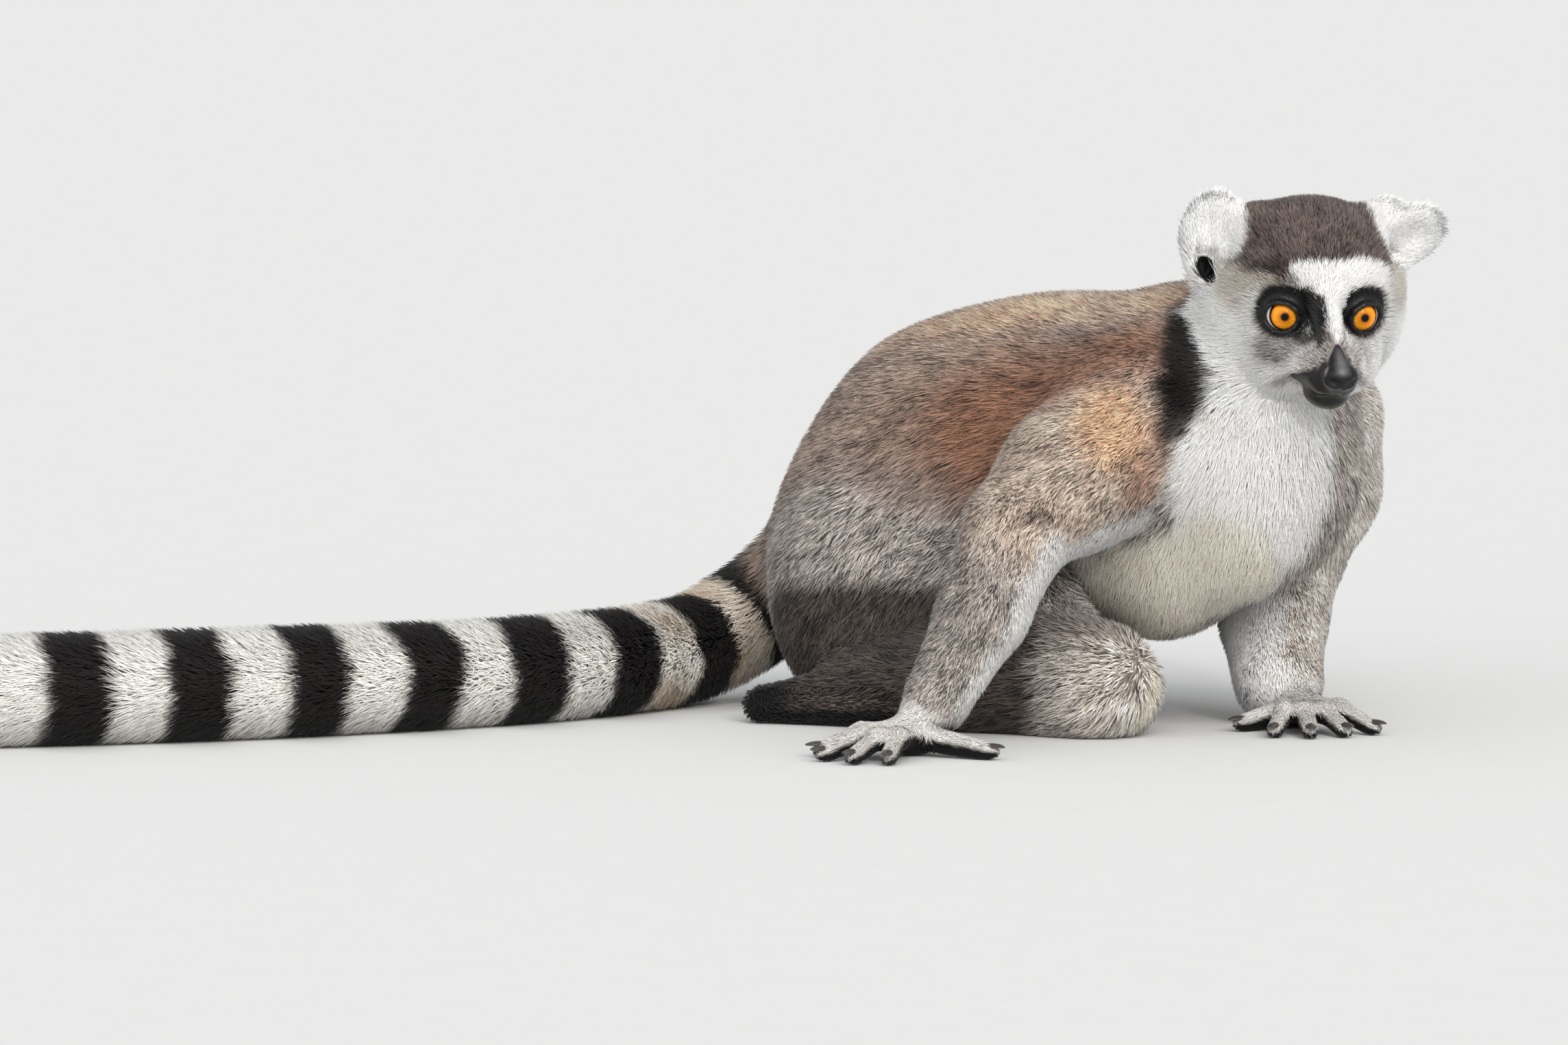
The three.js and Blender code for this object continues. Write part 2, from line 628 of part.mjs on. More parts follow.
/** Stands the model with the middle of its box over the origin and its flats on z = 0. */
function assembled(nodes) {
  const figure = new THREE.Group();
  for (const [name, solid] of Object.entries(nodes)) {
    const geometry = geometryOf(largest(aboveFloor(solid)));
    const finish = FINISH_OF[name] ?? (name.startsWith('tail') ? 'fur_dark' : 'fur_grey');
    const material = new THREE.MeshStandardMaterial({
      name: finish,
      color: COLOURS[finish],
      roughness: finish === 'eye' ? 0.1 : 0.9,
      metalness: 0,
    });
    const mesh = new THREE.Mesh(geometry, material);
    mesh.name = name;
    figure.add(mesh);
  }
  const box = new THREE.Box3().setFromObject(figure);
  const centre = box.getCenter(new THREE.Vector3());
  figure.position.set(-centre.x, -centre.y, -box.min.z);
  const root = new THREE.Group();
  root.name = 'ring_tailed_lemur';
  root.add(figure);
  return root;
}

export default assembled(await makeNodes());
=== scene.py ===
"""Ring-tailed lemur, a still life-size model: skin, eyes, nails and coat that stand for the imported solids.

All sizes below are millimetres in the figure's own frame, with +Z up and the floor at 0; they are moved into
the shared frame and turned into metres only where a mesh is made.
"""
import logging
import math
from dataclasses import dataclass, field
from enum import Enum
from typing import Callable, Iterable, Sequence

import bpy
import numpy as np
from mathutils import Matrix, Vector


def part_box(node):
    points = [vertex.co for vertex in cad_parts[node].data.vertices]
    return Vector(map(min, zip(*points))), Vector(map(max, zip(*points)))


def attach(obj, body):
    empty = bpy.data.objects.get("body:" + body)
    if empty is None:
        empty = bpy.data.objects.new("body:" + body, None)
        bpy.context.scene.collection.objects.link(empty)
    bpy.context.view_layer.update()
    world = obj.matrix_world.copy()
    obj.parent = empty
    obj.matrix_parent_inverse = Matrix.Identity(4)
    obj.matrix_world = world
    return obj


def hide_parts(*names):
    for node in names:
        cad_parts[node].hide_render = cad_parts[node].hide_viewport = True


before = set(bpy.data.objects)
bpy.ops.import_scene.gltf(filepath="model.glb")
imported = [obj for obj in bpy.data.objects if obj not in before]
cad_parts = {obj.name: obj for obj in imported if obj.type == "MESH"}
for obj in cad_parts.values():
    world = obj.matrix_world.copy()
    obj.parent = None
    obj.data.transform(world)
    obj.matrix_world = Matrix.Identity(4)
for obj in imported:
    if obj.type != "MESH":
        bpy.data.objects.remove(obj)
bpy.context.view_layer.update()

import openvdb
from mathutils import Vector

LOG = logging.getLogger("lemur")
MM = 0.001
SEED = 20
STRETCHES = {"growth": 12, "tips": 8}  # long arrays are worked through in this many parts to spare memory
Array = np.ndarray
Field = Callable[[Array], Array]


# ---------------------------------------------------------------- small helpers
def vec(*values: float) -> Array:
    """A float32 array of the values given."""
    return np.array(values, dtype=np.float32)


def unit(vectors: Array) -> Array:
    """Vectors scaled to length one."""
    return vectors / np.maximum(np.linalg.norm(vectors, axis=-1, keepdims=True), 1e-9)


def smooth(low: float, high: float, values: Array) -> Array:
    """0 below low, 1 above high and an even S between them; high may be the smaller."""
    t = np.clip((values - low) / (high - low), 0.0, 1.0)
    return t * t * (3.0 - 2.0 * t)


def axes_of(heading: float, pitch: float = 0.0, roll: float = 0.0) -> Array:
    """Rows forward, left and up of a piece.

    Args:
        heading: degrees from +X, anticlockwise from above.
        pitch: degrees the nose points down.
        roll: degrees turned about the forward axis.

    Returns:
        A 3 by 3 array with one axis a row.
    """
    h, p, r = np.radians([heading, pitch, roll])
    forward = np.array([np.cos(h) * np.cos(p), np.sin(h) * np.cos(p), -np.sin(p)])
    level = np.array([-np.sin(h), np.cos(h), 0.0])
    left = level * np.cos(r) + np.cross(forward, level) * np.sin(r)
    return np.array([forward, left, np.cross(forward, left)], dtype=np.float32)


def melt(a: Array, b: Array, blend: float) -> Array:
    """The smaller of two distances, rounded where they are within the blend of each other."""
    h = np.maximum(blend - np.abs(a - b), 0.0) / blend
    return np.minimum(a, b) - h * h * blend * 0.25


def linear(*srgb: int) -> Array:
    """A colour written as it shows, 0 to 255, as the linear values a shader takes."""
    c = np.array(srgb, dtype=np.float32) / 255.0
    return np.where(c <= 0.04045, c / 12.92, ((c + 0.055) / 1.055) ** 2.4).astype(np.float32)


class Noise:
    """Smooth random values in space, from a wrapped lattice of seeded numbers."""

    SIDE = 32

    def __init__(self, seed: int) -> None:
        """Draws the lattice from the seed."""
        rng = np.random.default_rng(seed)
        self.lattice = rng.uniform(-1.0, 1.0, (self.SIDE,) * 3 + (3,)).astype(np.float32)

    def at(self, points: Array, scale: float) -> Array:
        """Three independent values in -1..1 at each point.

        Args:
            points: n by 3 places.
            scale: distance between lattice points, in mm.

        Returns:
            An n by 3 array.
        """
        q = points / scale + 100.0 * self.SIDE
        cell = np.floor(q).astype(np.int64)
        t = (q - cell).astype(np.float32)
        t = t * t * (3.0 - 2.0 * t)
        out = np.zeros_like(points, dtype=np.float32)
        for corner in np.ndindex(2, 2, 2):
            index = (cell + np.array(corner)) % self.SIDE
            weight = np.prod(np.where(np.array(corner) == 1, t, 1.0 - t), axis=-1)
            out += weight[:, None] * self.lattice[index[:, 0], index[:, 1], index[:, 2]]
        return out


# ---------------------------------------------------------------- coat and flesh
class Region(Enum):
    """A stretch of the body whose tufts are joined into one piece."""

    RUMP = "coat_rump"
    BACK = "coat_back"
    CHEST = "coat_chest"
    NECK = "coat_neck"
    ARM_RIGHT = "coat_arm_right"
    ARM_LEFT = "coat_arm_left"
    LEG_RIGHT = "coat_leg_right"
    LEG_LEFT = "coat_leg_left"
    HANDS = "coat_hands"
    FEET = "coat_feet"
    CROWN = "coat_crown"
    CHEEKS = "coat_cheeks"
    FACE = "coat_face"
    EARS = "coat_ears"
    TAIL = "coat_tail"
    TAIL_END = "coat_tail_end"


@dataclass(frozen=True)
class Fur:
    """How the coat grows over a lump of flesh."""

    depth: float  # from the skin to the tips
    length: float  # of one tuft
    width: float  # of one tuft at its widest
    density: float  # tufts on a square centimetre
    ruffle: float = 0.25  # how far tufts stray from the lie of the coat

    def row(self) -> Array:
        """The five numbers in order, for blending between lumps."""
        return vec(self.depth, self.length, self.width, self.density, self.ruffle)


RUMP_FUR = Fur(6.0, 12.5, 0.50, 165, 0.34)
BACK_FUR = Fur(6.0, 12.0, 0.46, 215, 0.28)
CHEST_FUR = Fur(6.5, 13.5, 0.50, 200, 0.30)
BREAST_FUR = Fur(7.0, 14.5, 0.50, 205, 0.30)
NECK_FUR = Fur(5.5, 11.5, 0.44, 220, 0.28)
ARM_FUR = Fur(4.6, 9.5, 0.42, 230, 0.30)
FOREARM_FUR = Fur(3.2, 7.5, 0.38, 280, 0.28)
WRIST_FUR = Fur(1.8, 5.5, 0.36, 300, 0.24)
DIGIT_FUR = Fur(0.8, 3.2, 0.30, 320, 0.20)
THIGH_FUR = Fur(5.5, 11.5, 0.48, 165, 0.34)
SHANK_FUR = Fur(4.2, 9.0, 0.48, 160, 0.32)
FOOT_FUR = Fur(1.8, 5.0, 0.48, 150, 0.22)
TAIL_FUR = Fur(7.0, 14.5, 0.60, 135, 0.40)
TAIL_TIP_FUR = Fur(5.0, 13.0, 0.80, 90, 0.30)
CROWN_FUR = Fur(3.4, 6.0, 0.30, 560, 0.28)
BROW_FUR = Fur(2.2, 4.4, 0.28, 560, 0.18)
CHEEK_FUR = Fur(5.5, 11.0, 0.36, 400, 0.26)
RIM_FUR = Fur(1.3, 2.4, 0.24, 640, 0.16)
THROAT_FUR = Fur(4.2, 9.0, 0.38, 330, 0.30)
MUZZLE_FUR = Fur(0.9, 1.9, 0.22, 640, 0.14)
LIP_FUR = Fur(0.3, 0.8, 0.20, 0, 0.10)
EAR_FUR = Fur(3.2, 8.5, 0.32, 470, 0.36)
DISH_FUR = Fur(1.8, 7.0, 0.28, 340, 0.34)
BARE = Fur(0.0, 0.8, 0.20, 0, 0.10)


@dataclass
class Lump:
    """An ellipsoid of flesh with its coat, or a hollow cut into what came before."""

    region: Region
    centre: Array
    radii: Array
    axes: Array
    blend: float
    fur: Fur
    lay: Array  # the way the coat lies, or the point it lies away from
    away: bool = False
    cut: bool = False

    def distance(self, points: Array) -> Array:
        """Distance to the tips of the coat, negative inside.

        Args:
            points: n by 3 places in the figure's frame.

        Returns:
            n distances.
        """
        q = (points - self.centre) @ self.axes.T
        near = np.linalg.norm(q / self.radii, axis=-1)
        far = np.linalg.norm(q / self.radii**2, axis=-1)
        return near * (near - 1.0) / np.maximum(far, 1e-6)

    def lie(self, points: Array) -> Array:
        """The way the coat lies at each point.

        Args:
            points: n by 3 places in the figure's frame.

        Returns:
            n by 3 directions.
        """
        if self.away:
            return unit(points - self.lay)
        return np.broadcast_to(unit(self.lay), points.shape)


@dataclass
class Bone:
    """A straight tapered stretch of flesh round a bone, with its coat."""

    region: Region
    start: Array
    end: Array
    start_radius: float
    end_radius: float
    blend: float
    fur: Fur
    lay: Array | None = None
    away: bool = False
    cut: bool = False

    def distance(self, points: Array) -> Array:
        """Distance to the tips of the coat, negative inside.

        Args:
            points: n by 3 places in the figure's frame.

        Returns:
            n distances.
        """
        axis = self.end - self.start
        t = np.clip((points - self.start) @ axis / max(float(axis @ axis), 1e-6), 0.0, 1.0)
        side = np.linalg.norm(points - self.start - t[:, None] * axis, axis=-1)
        return side - (self.start_radius + (self.end_radius - self.start_radius) * t)

    def lie(self, points: Array) -> Array:
        """The way the coat lies at each point: down the bone if nothing else is given.

        Args:
            points: n by 3 places in the figure's frame.

        Returns:
            n by 3 directions.
        """
        if self.away:
            return unit(points - self.lay)
        way = self.end - self.start if self.lay is None else self.lay
        return np.broadcast_to(unit(way), points.shape)


Flesh = Lump | Bone


def bones(region: Region, line: Sequence[Sequence[float]], radii: Sequence[float], furs: Sequence[Fur],
          blend: float, first_blend: float | None = None, lay: Array | None = None) -> list[Flesh]:
    """Bones end to end through the points of a line.

    Args:
        region: where the tufts belong.
        line: points from the body outwards.
        radii: one radius a point, out to the tips of the coat.
        furs: one coat for each bone, the last repeated.
        blend: how far the bones melt into each other.
        first_blend: how far the first melts into the body.
        lay: the way the coat lies, down each bone if left out.

    Returns:
        The list of bones.
    """
    out: list[Flesh] = []
    for i in range(len(line) - 1):
        fur = furs[min(i, len(furs) - 1)]
        join = first_blend if i == 0 and first_blend else blend
        out.append(Bone(region, vec(*line[i]), vec(*line[i + 1]), radii[i], radii[i + 1], join, fur, lay))
    return out


class Body:
    """Lumps that melt into each other, as a field for the skin and one for the tips of the coat."""

    FLOOR = 0.0

    def __init__(self, lumps: Iterable[Flesh]) -> None:
        """Keeps the lumps in the order in which they melt."""
        self.lumps = list(lumps)
        self.solid = [lump for lump in self.lumps if not lump.cut]

    def _joined(self, points: Array, shrink: float) -> Array:
        """Distance to the joined lumps, each drawn in by this share of its coat's depth.

        Args:
            points: n by 3 places in the figure's frame.
            shrink: share of the depth, 1 for the skin and 0 for the tips.

        Returns:
            n distances.
        """
        d = np.full(len(points), 1e3, dtype=np.float32)
        for lump in self.lumps:
            e = lump.distance(points)
            depth = lump.fur.depth * shrink
            d = -melt(-d, e - depth, lump.blend) if lump.cut else melt(d, e + depth, lump.blend)
        return d

    def skin(self, points: Array) -> Array:
        """Distance to the skin, closed flat at the floor."""
        return np.maximum(self._joined(points, 1.0), self.FLOOR - points[:, 2])

    def tips(self, points: Array) -> Array:
        """Distance to the surface the tips of the coat reach."""
        return self._joined(points, 0.0)

    def growth(self, points: Array, softness: float = 4.0) -> tuple[Array, Array, Array]:
        """The coat at points on the skin.

        Args:
            points: n by 3 places.
            softness: mm over which one lump's coat changes into the next one's.

        Returns:
            n by 5 numbers of Fur, n by 3 directions, and the index of the nearest solid lump.
        """
        distances = np.stack([lump.distance(points) + lump.fur.depth for lump in self.solid])
        weights = np.exp(-(distances - distances.min(axis=0)) / softness)
        weights /= weights.sum(axis=0)
        furs = weights.T @ np.stack([lump.fur.row() for lump in self.solid])
        lie = np.zeros_like(points)
        for lump, weight in zip(self.solid, weights):
            lie += weight[:, None] * lump.lie(points)
        return furs, lie, distances.argmin(axis=0)


# ---------------------------------------------------------------- the parts of the figure
@dataclass(frozen=True)
class Trunk:
    """Rump, loin, ribs, breast, belly and neck; the chest is turned against the pelvis."""

    pelvis_heading: float = -33.0
    chest_heading: float = -55.0
    backwards: tuple[float, ...] = (-0.78, 0.52, -0.34)
    down_the_rump: tuple[float, ...] = (-0.62, 0.42, -0.66)
    down_the_breast: tuple[float, ...] = (-0.16, 0.05, -1.0)
    neck: tuple[tuple[float, ...], ...] = ((79, -14, 158), (46, 8, 142))

    def lumps(self) -> list[Flesh]:
        """The melted lumps of the trunk, from the rump to the neck.

        Returns:
            The lumps in the order in which they melt.
        """
        rump, back = vec(*self.down_the_rump), vec(*self.backwards)
        breast = vec(*self.down_the_breast)
        return [
            Lump(Region.RUMP, vec(-80, 84, 62), vec(54, 54, 56), axes_of(self.pelvis_heading), 20, RUMP_FUR, rump),
            Lump(Region.RUMP, vec(-54, 66, 100), vec(62, 56, 62), axes_of(-40, -20), 30, BACK_FUR, rump),
            Lump(Region.BACK, vec(-10, 38, 119), vec(60, 54, 55.5), axes_of(-45, -8), 30, BACK_FUR, back),
            Lump(Region.BACK, vec(42, 12, 124), vec(50, 54, 51), axes_of(self.chest_heading), 30, BACK_FUR, back),
            Lump(Region.CHEST, vec(68, -18, 106), vec(34, 42, 52), axes_of(self.chest_heading, 10), 24,
                 BREAST_FUR, breast),
            Lump(Region.CHEST, vec(26, 8, 78), vec(42, 38, 44), axes_of(-50), 24, CHEST_FUR, breast),
            Bone(Region.NECK, vec(46, 8, 142), vec(79, -14, 158), 34, 29, 22, NECK_FUR,
                 vec(*self.neck[1]) - vec(*self.neck[0]) + vec(0, 0, -14)),
        ]


@dataclass(frozen=True)
class Arm:
    """One arm from the shoulder to the wrist."""

    region: Region
    upper: tuple[tuple[float, ...], ...]
    upper_radii: tuple[float, ...]
    fore: tuple[tuple[float, ...], ...]
    fore_radii: tuple[float, ...]
    shoulder_blend: float

    def lumps(self) -> list[Flesh]:
        """The melted lumps of the arm.

        Returns:
            The lumps in the order in which they melt.
        """
        return [
            *bones(self.region, self.upper, self.upper_radii, [ARM_FUR], 10, self.shoulder_blend),
            *bones(self.region, self.fore, self.fore_radii, [FOREARM_FUR], 6),
        ]


RIGHT_ARM = Arm(Region.ARM_RIGHT, ((18, -18, 122), (-11, -38, 104), (-35, -62, 85)), (36, 29, 21.5),
                ((-35, -62, 83), (-48, -82, 54), (-65, -101, 24)), (21.5, 18.3, 14), 14)
LEFT_ARM = Arm(Region.ARM_LEFT, ((85, 30, 122), (87, 48, 94), (80, 64, 68)), (33, 29, 24.5),
               ((79, 64, 66), (73, 38, 40), (73.5, 10, 17)), (24.5, 22, 18.5), 12)


@dataclass(frozen=True)
class Hand:
    """A hand flat on the floor: palm, four arched fingers and a thumb set apart from them."""

    wrist: tuple[float, ...]
    palm: tuple[float, ...]
    tips: tuple[tuple[float, ...], ...]
    thumb: tuple[float, ...]
    knuckle_height: float = 9.0

    def lumps(self) -> list[Flesh]:
        """The melted lumps of the hand.

        Returns:
            The lumps in the order in which they melt.
        """
        out = bones(Region.HANDS, (self.wrist, self.palm), (11.5, 9), [WRIST_FUR], 6)
        for tip in self.tips:
            knuckle = tuple(self.palm[i] * 0.45 + tip[i] * 0.55 for i in range(2)) + (self.knuckle_height,)
            out += bones(Region.HANDS, (self.palm, knuckle, tip), (6, 4.2, 3.6), [DIGIT_FUR], 4)
        return out + bones(Region.HANDS, (self.palm, self.thumb), (6, 3.8), [DIGIT_FUR], 4)


RIGHT_HAND = Hand((-68, -102, 18), (-77, -110, 8.2),
                  ((-112, -118, 3), (-111, -134, 3), (-100, -146, 3), (-86, -148, 3)), (-46, -128, 3.2))
LEFT_HAND = Hand((79, 8, 17), (81, -8, 8.2),
                 ((70, -46, 3), (84, -50, 3), (98, -46, 3), (110, -36, 3)), (58, -22, 3.2))


@dataclass(frozen=True)
class Legs:
    """Both legs folded, the right one in view with its knee forward, and the feet flat."""

    down_the_thigh: tuple[float, ...] = (-0.35, 0.05, -0.9)

    def lumps(self) -> list[Flesh]:
        """The melted lumps of the legs and the feet.

        Returns:
            The lumps in the order in which they melt.
        """
        right, left = Region.LEG_RIGHT, Region.LEG_LEFT
        down = vec(*self.down_the_thigh)
        return [
            Lump(right, vec(-84, 44, 44), vec(50, 40, 42), axes_of(-33), 14, THIGH_FUR, down),
            Lump(right, vec(-83, 46, 30), vec(42, 36, 34), axes_of(-33), 14, THIGH_FUR, down),
            *bones(right, ((-82, 54, 62), (-40, 12, 46), (-9, -24, 24)), (48, 34, 20), [THIGH_FUR], 10, 14, down),
            Lump(right, vec(-3, -34, 21), vec(30, 25, 23.5), axes_of(-30), 10, THIGH_FUR, down),
            *bones(right, ((-3, -34, 19), (-50, -14, 22), (-96, 14, 17)), (26, 24, 16), [SHANK_FUR], 10),
            *bones(left, ((-54, 104, 66), (0, 92, 76), (49, 81, 84)), (44, 36, 24), [THIGH_FUR], 10, 14, down),
            *bones(left, ((49, 81, 84), (0, 97, 52), (-48, 112, 20)), (23, 20, 13), [SHANK_FUR], 8),
            *bones(Region.FEET, ((-102, 14, 13), (-136, 12, 7.6)), (11.5, 7.2), [FOOT_FUR], 5),
            *bones(Region.FEET, ((-136, 12, 7.2), (-78, -10, 8.2), (-48, -22, 5.4)), (7.4, 9, 6), [FOOT_FUR], 5),
            *bones(Region.FEET, ((-48, 112, 17), (-62, 118, 11)), (13, 10), [FOOT_FUR], 5),
            *bones(Region.FEET, ((-62, 118, 9.3), (-8, 94, 8.2), (24, 78, 5.4)), (10, 9, 6), [FOOT_FUR], 5),
        ]


@dataclass(frozen=True)
class Head:
    """The head, measured from the middle between the eyeballs in its own forward, left and up."""

    origin: tuple[float, ...] = (87.8, -45, 170.7)
    heading: float = -80.0
    pitch: float = 17.0
    roll: float = -1.5
    eye_apart: float = 30.7
    eye_radius: float = 7.7
    lid_splay: float = 22.0
    gaze_splay: tuple[float, ...] = (8.5, 7.5)
    lid_thickness: float = 1.4
    rim: tuple[float, float] = (1.25, 0.9)  # thickness of the upper and the lower rim
    rim_reach: float = 0.8
    fold_at: tuple[float, ...] = (25, 60, 95, 130, 165)  # degrees round the opening
    fold_reach: float = 3.2
    fold_radius: float = 0.55
    opening: tuple[float, ...] = (6.3, 5.2)
    parting: tuple[float, ...] = (46, 0, -8)  # the place in front of the nose that the coat lies away from

    @property
    def axes(self) -> Array:
        """The head's forward, left and up, one a row."""
        return axes_of(self.heading, self.pitch, self.roll)

    def point(self, *local: float) -> Array:
        """A point of the head in the figure's frame."""
        return vec(*self.origin) + vec(*local) @ self.axes

    def local(self, points: Array) -> Array:
        """Points of the figure's frame in the head's own forward, left and up."""
        return (points - vec(*self.origin)) @ self.axes.T

    def eye_centre(self, side: int) -> Array:
        """The middle of an eyeball, side -1 for the right one and 1 for the left one."""
        return self.point(0, side * self.eye_apart / 2, 0)

    def facing(self, side: int, splay: float, rise: float) -> Array:
        """Axes looking out from an eye: ahead, left and up, one a row.

        Args:
            side: -1 for the right eye and 1 for the left one.
            splay: degrees that it is turned outwards.
            rise: how far it looks up for each unit ahead.

        Returns:
            A 3 by 3 array.
        """
        ahead = unit(vec(math.cos(math.radians(splay)), side * math.sin(math.radians(splay)), rise) @ self.axes)
        left = unit(np.cross(self.axes[2], ahead))
        return np.array([ahead, left, np.cross(ahead, left)], dtype=np.float32)

    def gaze(self, side: int) -> Array:
        """The way an eye looks."""
        return self.facing(side, self.gaze_splay[side > 0], 0.16)[0]

    def lump(self, region: Region, centre: Sequence[float], radii: Sequence[float], blend: float, fur: Fur,
             cut: bool = False) -> Lump:
        """A lump in the head's own axes, its coat lying away from the nose."""
        return Lump(region, self.point(*centre), vec(*radii), self.axes, blend, fur, self.point(*self.parting), True,
                    cut)

    def bone(self, region: Region, start: Sequence[float], end: Sequence[float], radii: Sequence[float],
             blend: float, fur: Fur, cut: bool = False) -> Bone:
        """A bone in the head's own axes, its coat lying away from the nose."""
        return Bone(region, self.point(*start), self.point(*end), *radii, blend, fur, self.point(*self.parting), True,
                    cut)

    def lumps(self) -> list[Flesh]:
        """Braincase, brow, cheeks, ruff, throat, muzzle, jaw, nose, then the lids, the mouth and the nostrils.

        Returns:
            The lumps in the order in which they melt.
        """
        crown, cheeks, face = Region.CROWN, Region.CHEEKS, Region.FACE
        out: list[Flesh] = [
            self.lump(crown, (-25, 0, 8.5), (33, 36, 31.2), 14, CROWN_FUR),
            self.lump(face, (-9, 0, 12), (15, 22, 16), 8, BROW_FUR),
        ]
        for side in (-1, 1):
            out += [
                self.lump(crown, (-30, side * 24.5, 19.5 - side), (13, 13, 14), 10, CROWN_FUR),
                self.lump(cheeks, (-36, side * 28, 0), (16, 13, 22), 12, CHEEK_FUR),
                self.lump(cheeks, (-21, side * 19.5, -11), (22, 19, 22), 12, CHEEK_FUR),
                self.lump(face, (-5, side * 16, 0), (7.5, 11.5, 12.5), 6, RIM_FUR),
            ]
        out += [
            self.lump(cheeks, (-40, -30, -19), (16, 14, 20), 12, CHEEK_FUR),
            self.lump(cheeks, (-14, 0, -22), (20, 16, 12), 10, THROAT_FUR),
            self.lump(cheeks, (-12, -18, -30), (15, 13, 12), 14, THROAT_FUR),
            self.bone(face, (4, 0, 8.5), (34, 0, -7), (6, 5), 6, BROW_FUR),
            self.bone(face, (2, 0, -9), (33, 0, -14), (12, 7.6), 6, MUZZLE_FUR),
        ]
        for side in (-1, 1):
            out += [
                self.lump(face, (2.5, side * 14, -14.5), (12, 10, 9), 8, MUZZLE_FUR),
                self.lump(cheeks, (2, side * 12.5, -22.5), (14, 10, 8), 12, THROAT_FUR),
                self.lump(face, (14, side * 7, -15), (14, 9, 9), 5, MUZZLE_FUR),
                self.lump(face, (28, side * 4.2, -17), (10, 6.2, 6.5), 4, LIP_FUR),
            ]
        out += [
            self.bone(face, (4, 0, -20), (24, 0, -24.5), (10, 5.6), 4, MUZZLE_FUR),
            self.lump(face, (22, 0, -25.2), (10.5, 9.5, 6.2), 4, LIP_FUR),
            self.lump(face, (39.5, 0.8, -12), (5.4, 7.2, 5.8), 2.5, BARE),
        ]
        return out + self._mouth() + self._lids()

    def _mouth(self) -> list[Flesh]:
        """The slit of the mouth, the groove under the nose and the comma-shaped nostrils, all cut.

        Returns:
            The lumps in the order in which they melt.
        """
        out: list[Flesh] = []

        def groove(line: Sequence[Sequence[float]], radii: Sequence[Sequence[float]], blend: float) -> None:
            """Cuts along a line."""
            for a, b, ends in zip(line, line[1:], radii):
                out.append(self.bone(Region.FACE, a, b, ends, blend, BARE, True))

        groove(((45.0, 0, -14.5), (38.5, 0, -20.5)), ((0.7, 0.6),), 0.8)
        for side in (-1, 1):
            groove(((39, side * 0.5, -20.6), (31, side * 7.5, -21.6), (20, side * 14.5, -21.6)),
                   ((0.9, 0.7), (0.9, 0.7)), 0.9)
            groove(((44.9, side * 3.0 + 0.8, -13.2), (43.2, side * 5.4 + 0.8, -12.8), (40.0, side * 7.6 + 0.8, -15.0)),
                   ((1.9, 1.6), (1.3, 0.6)), 0.7)
        return out

    def _lids(self) -> list[Flesh]:
        """Lids over each eyeball, hollow for it and open in front of it, with a rim and a fold above.

        Returns:
            The lumps in the order in which they melt.
        """
        out: list[Flesh] = []
        wide, high = self.opening
        for side in (-1, 1):
            centre, axes = self.eye_centre(side), self.facing(side, self.lid_splay, 0.05)

            def around(turn: float, reach: float, shell: float) -> Array:
                """A point of the eye's opening.

                Args:
                    turn: angle round the opening, from its left corner over the top.
                    reach: how far outside the opening.
                    shell: distance from the middle of the eyeball.

                Returns:
                    The point in the figure's frame.
                """
                flat = vec(0, math.cos(turn) * (wide + reach), math.sin(turn) * (high + reach))
                flat[0] = math.sqrt(max(shell**2 - float(flat @ flat), 1.0))
                return centre + flat @ axes

            radius = self.eye_radius + self.lid_thickness
            shell = Lump(Region.FACE, centre, vec(radius, radius, radius), self.axes, 3.0, BARE, centre, True)
            globe = self.eye_radius + 0.05
            hollow = Lump(Region.FACE, centre, vec(globe, globe, globe), self.axes, 0.3, BARE, centre, True, True)
            door = Lump(Region.FACE, centre + axes[0] * 8, vec(7, wide * 1.03, high * 1.03), axes, 0.8, BARE,
                        centre, True, True)
            out.append(shell)
            turns = [2 * math.pi * k / 10 for k in range(11)]
            for a, b in zip(turns, turns[1:]):
                thick = self.rim[0] if math.sin((a + b) / 2) > 0 else self.rim[1]
                ends = [around(turn, self.rim_reach, radius - 0.3) for turn in (a, b)]
                out.append(Bone(Region.FACE, *ends, thick, thick, 1.0, BARE, centre, True))
            out += [door, hollow]
            folds = [around(math.radians(turn), self.fold_reach, radius + 1.0) for turn in self.fold_at]
            out += [Bone(Region.FACE, a, b, self.fold_radius, self.fold_radius, 0.8, BARE, centre, True, True)
                    for a, b in zip(folds, folds[1:])]
        return out


HEAD = Head()


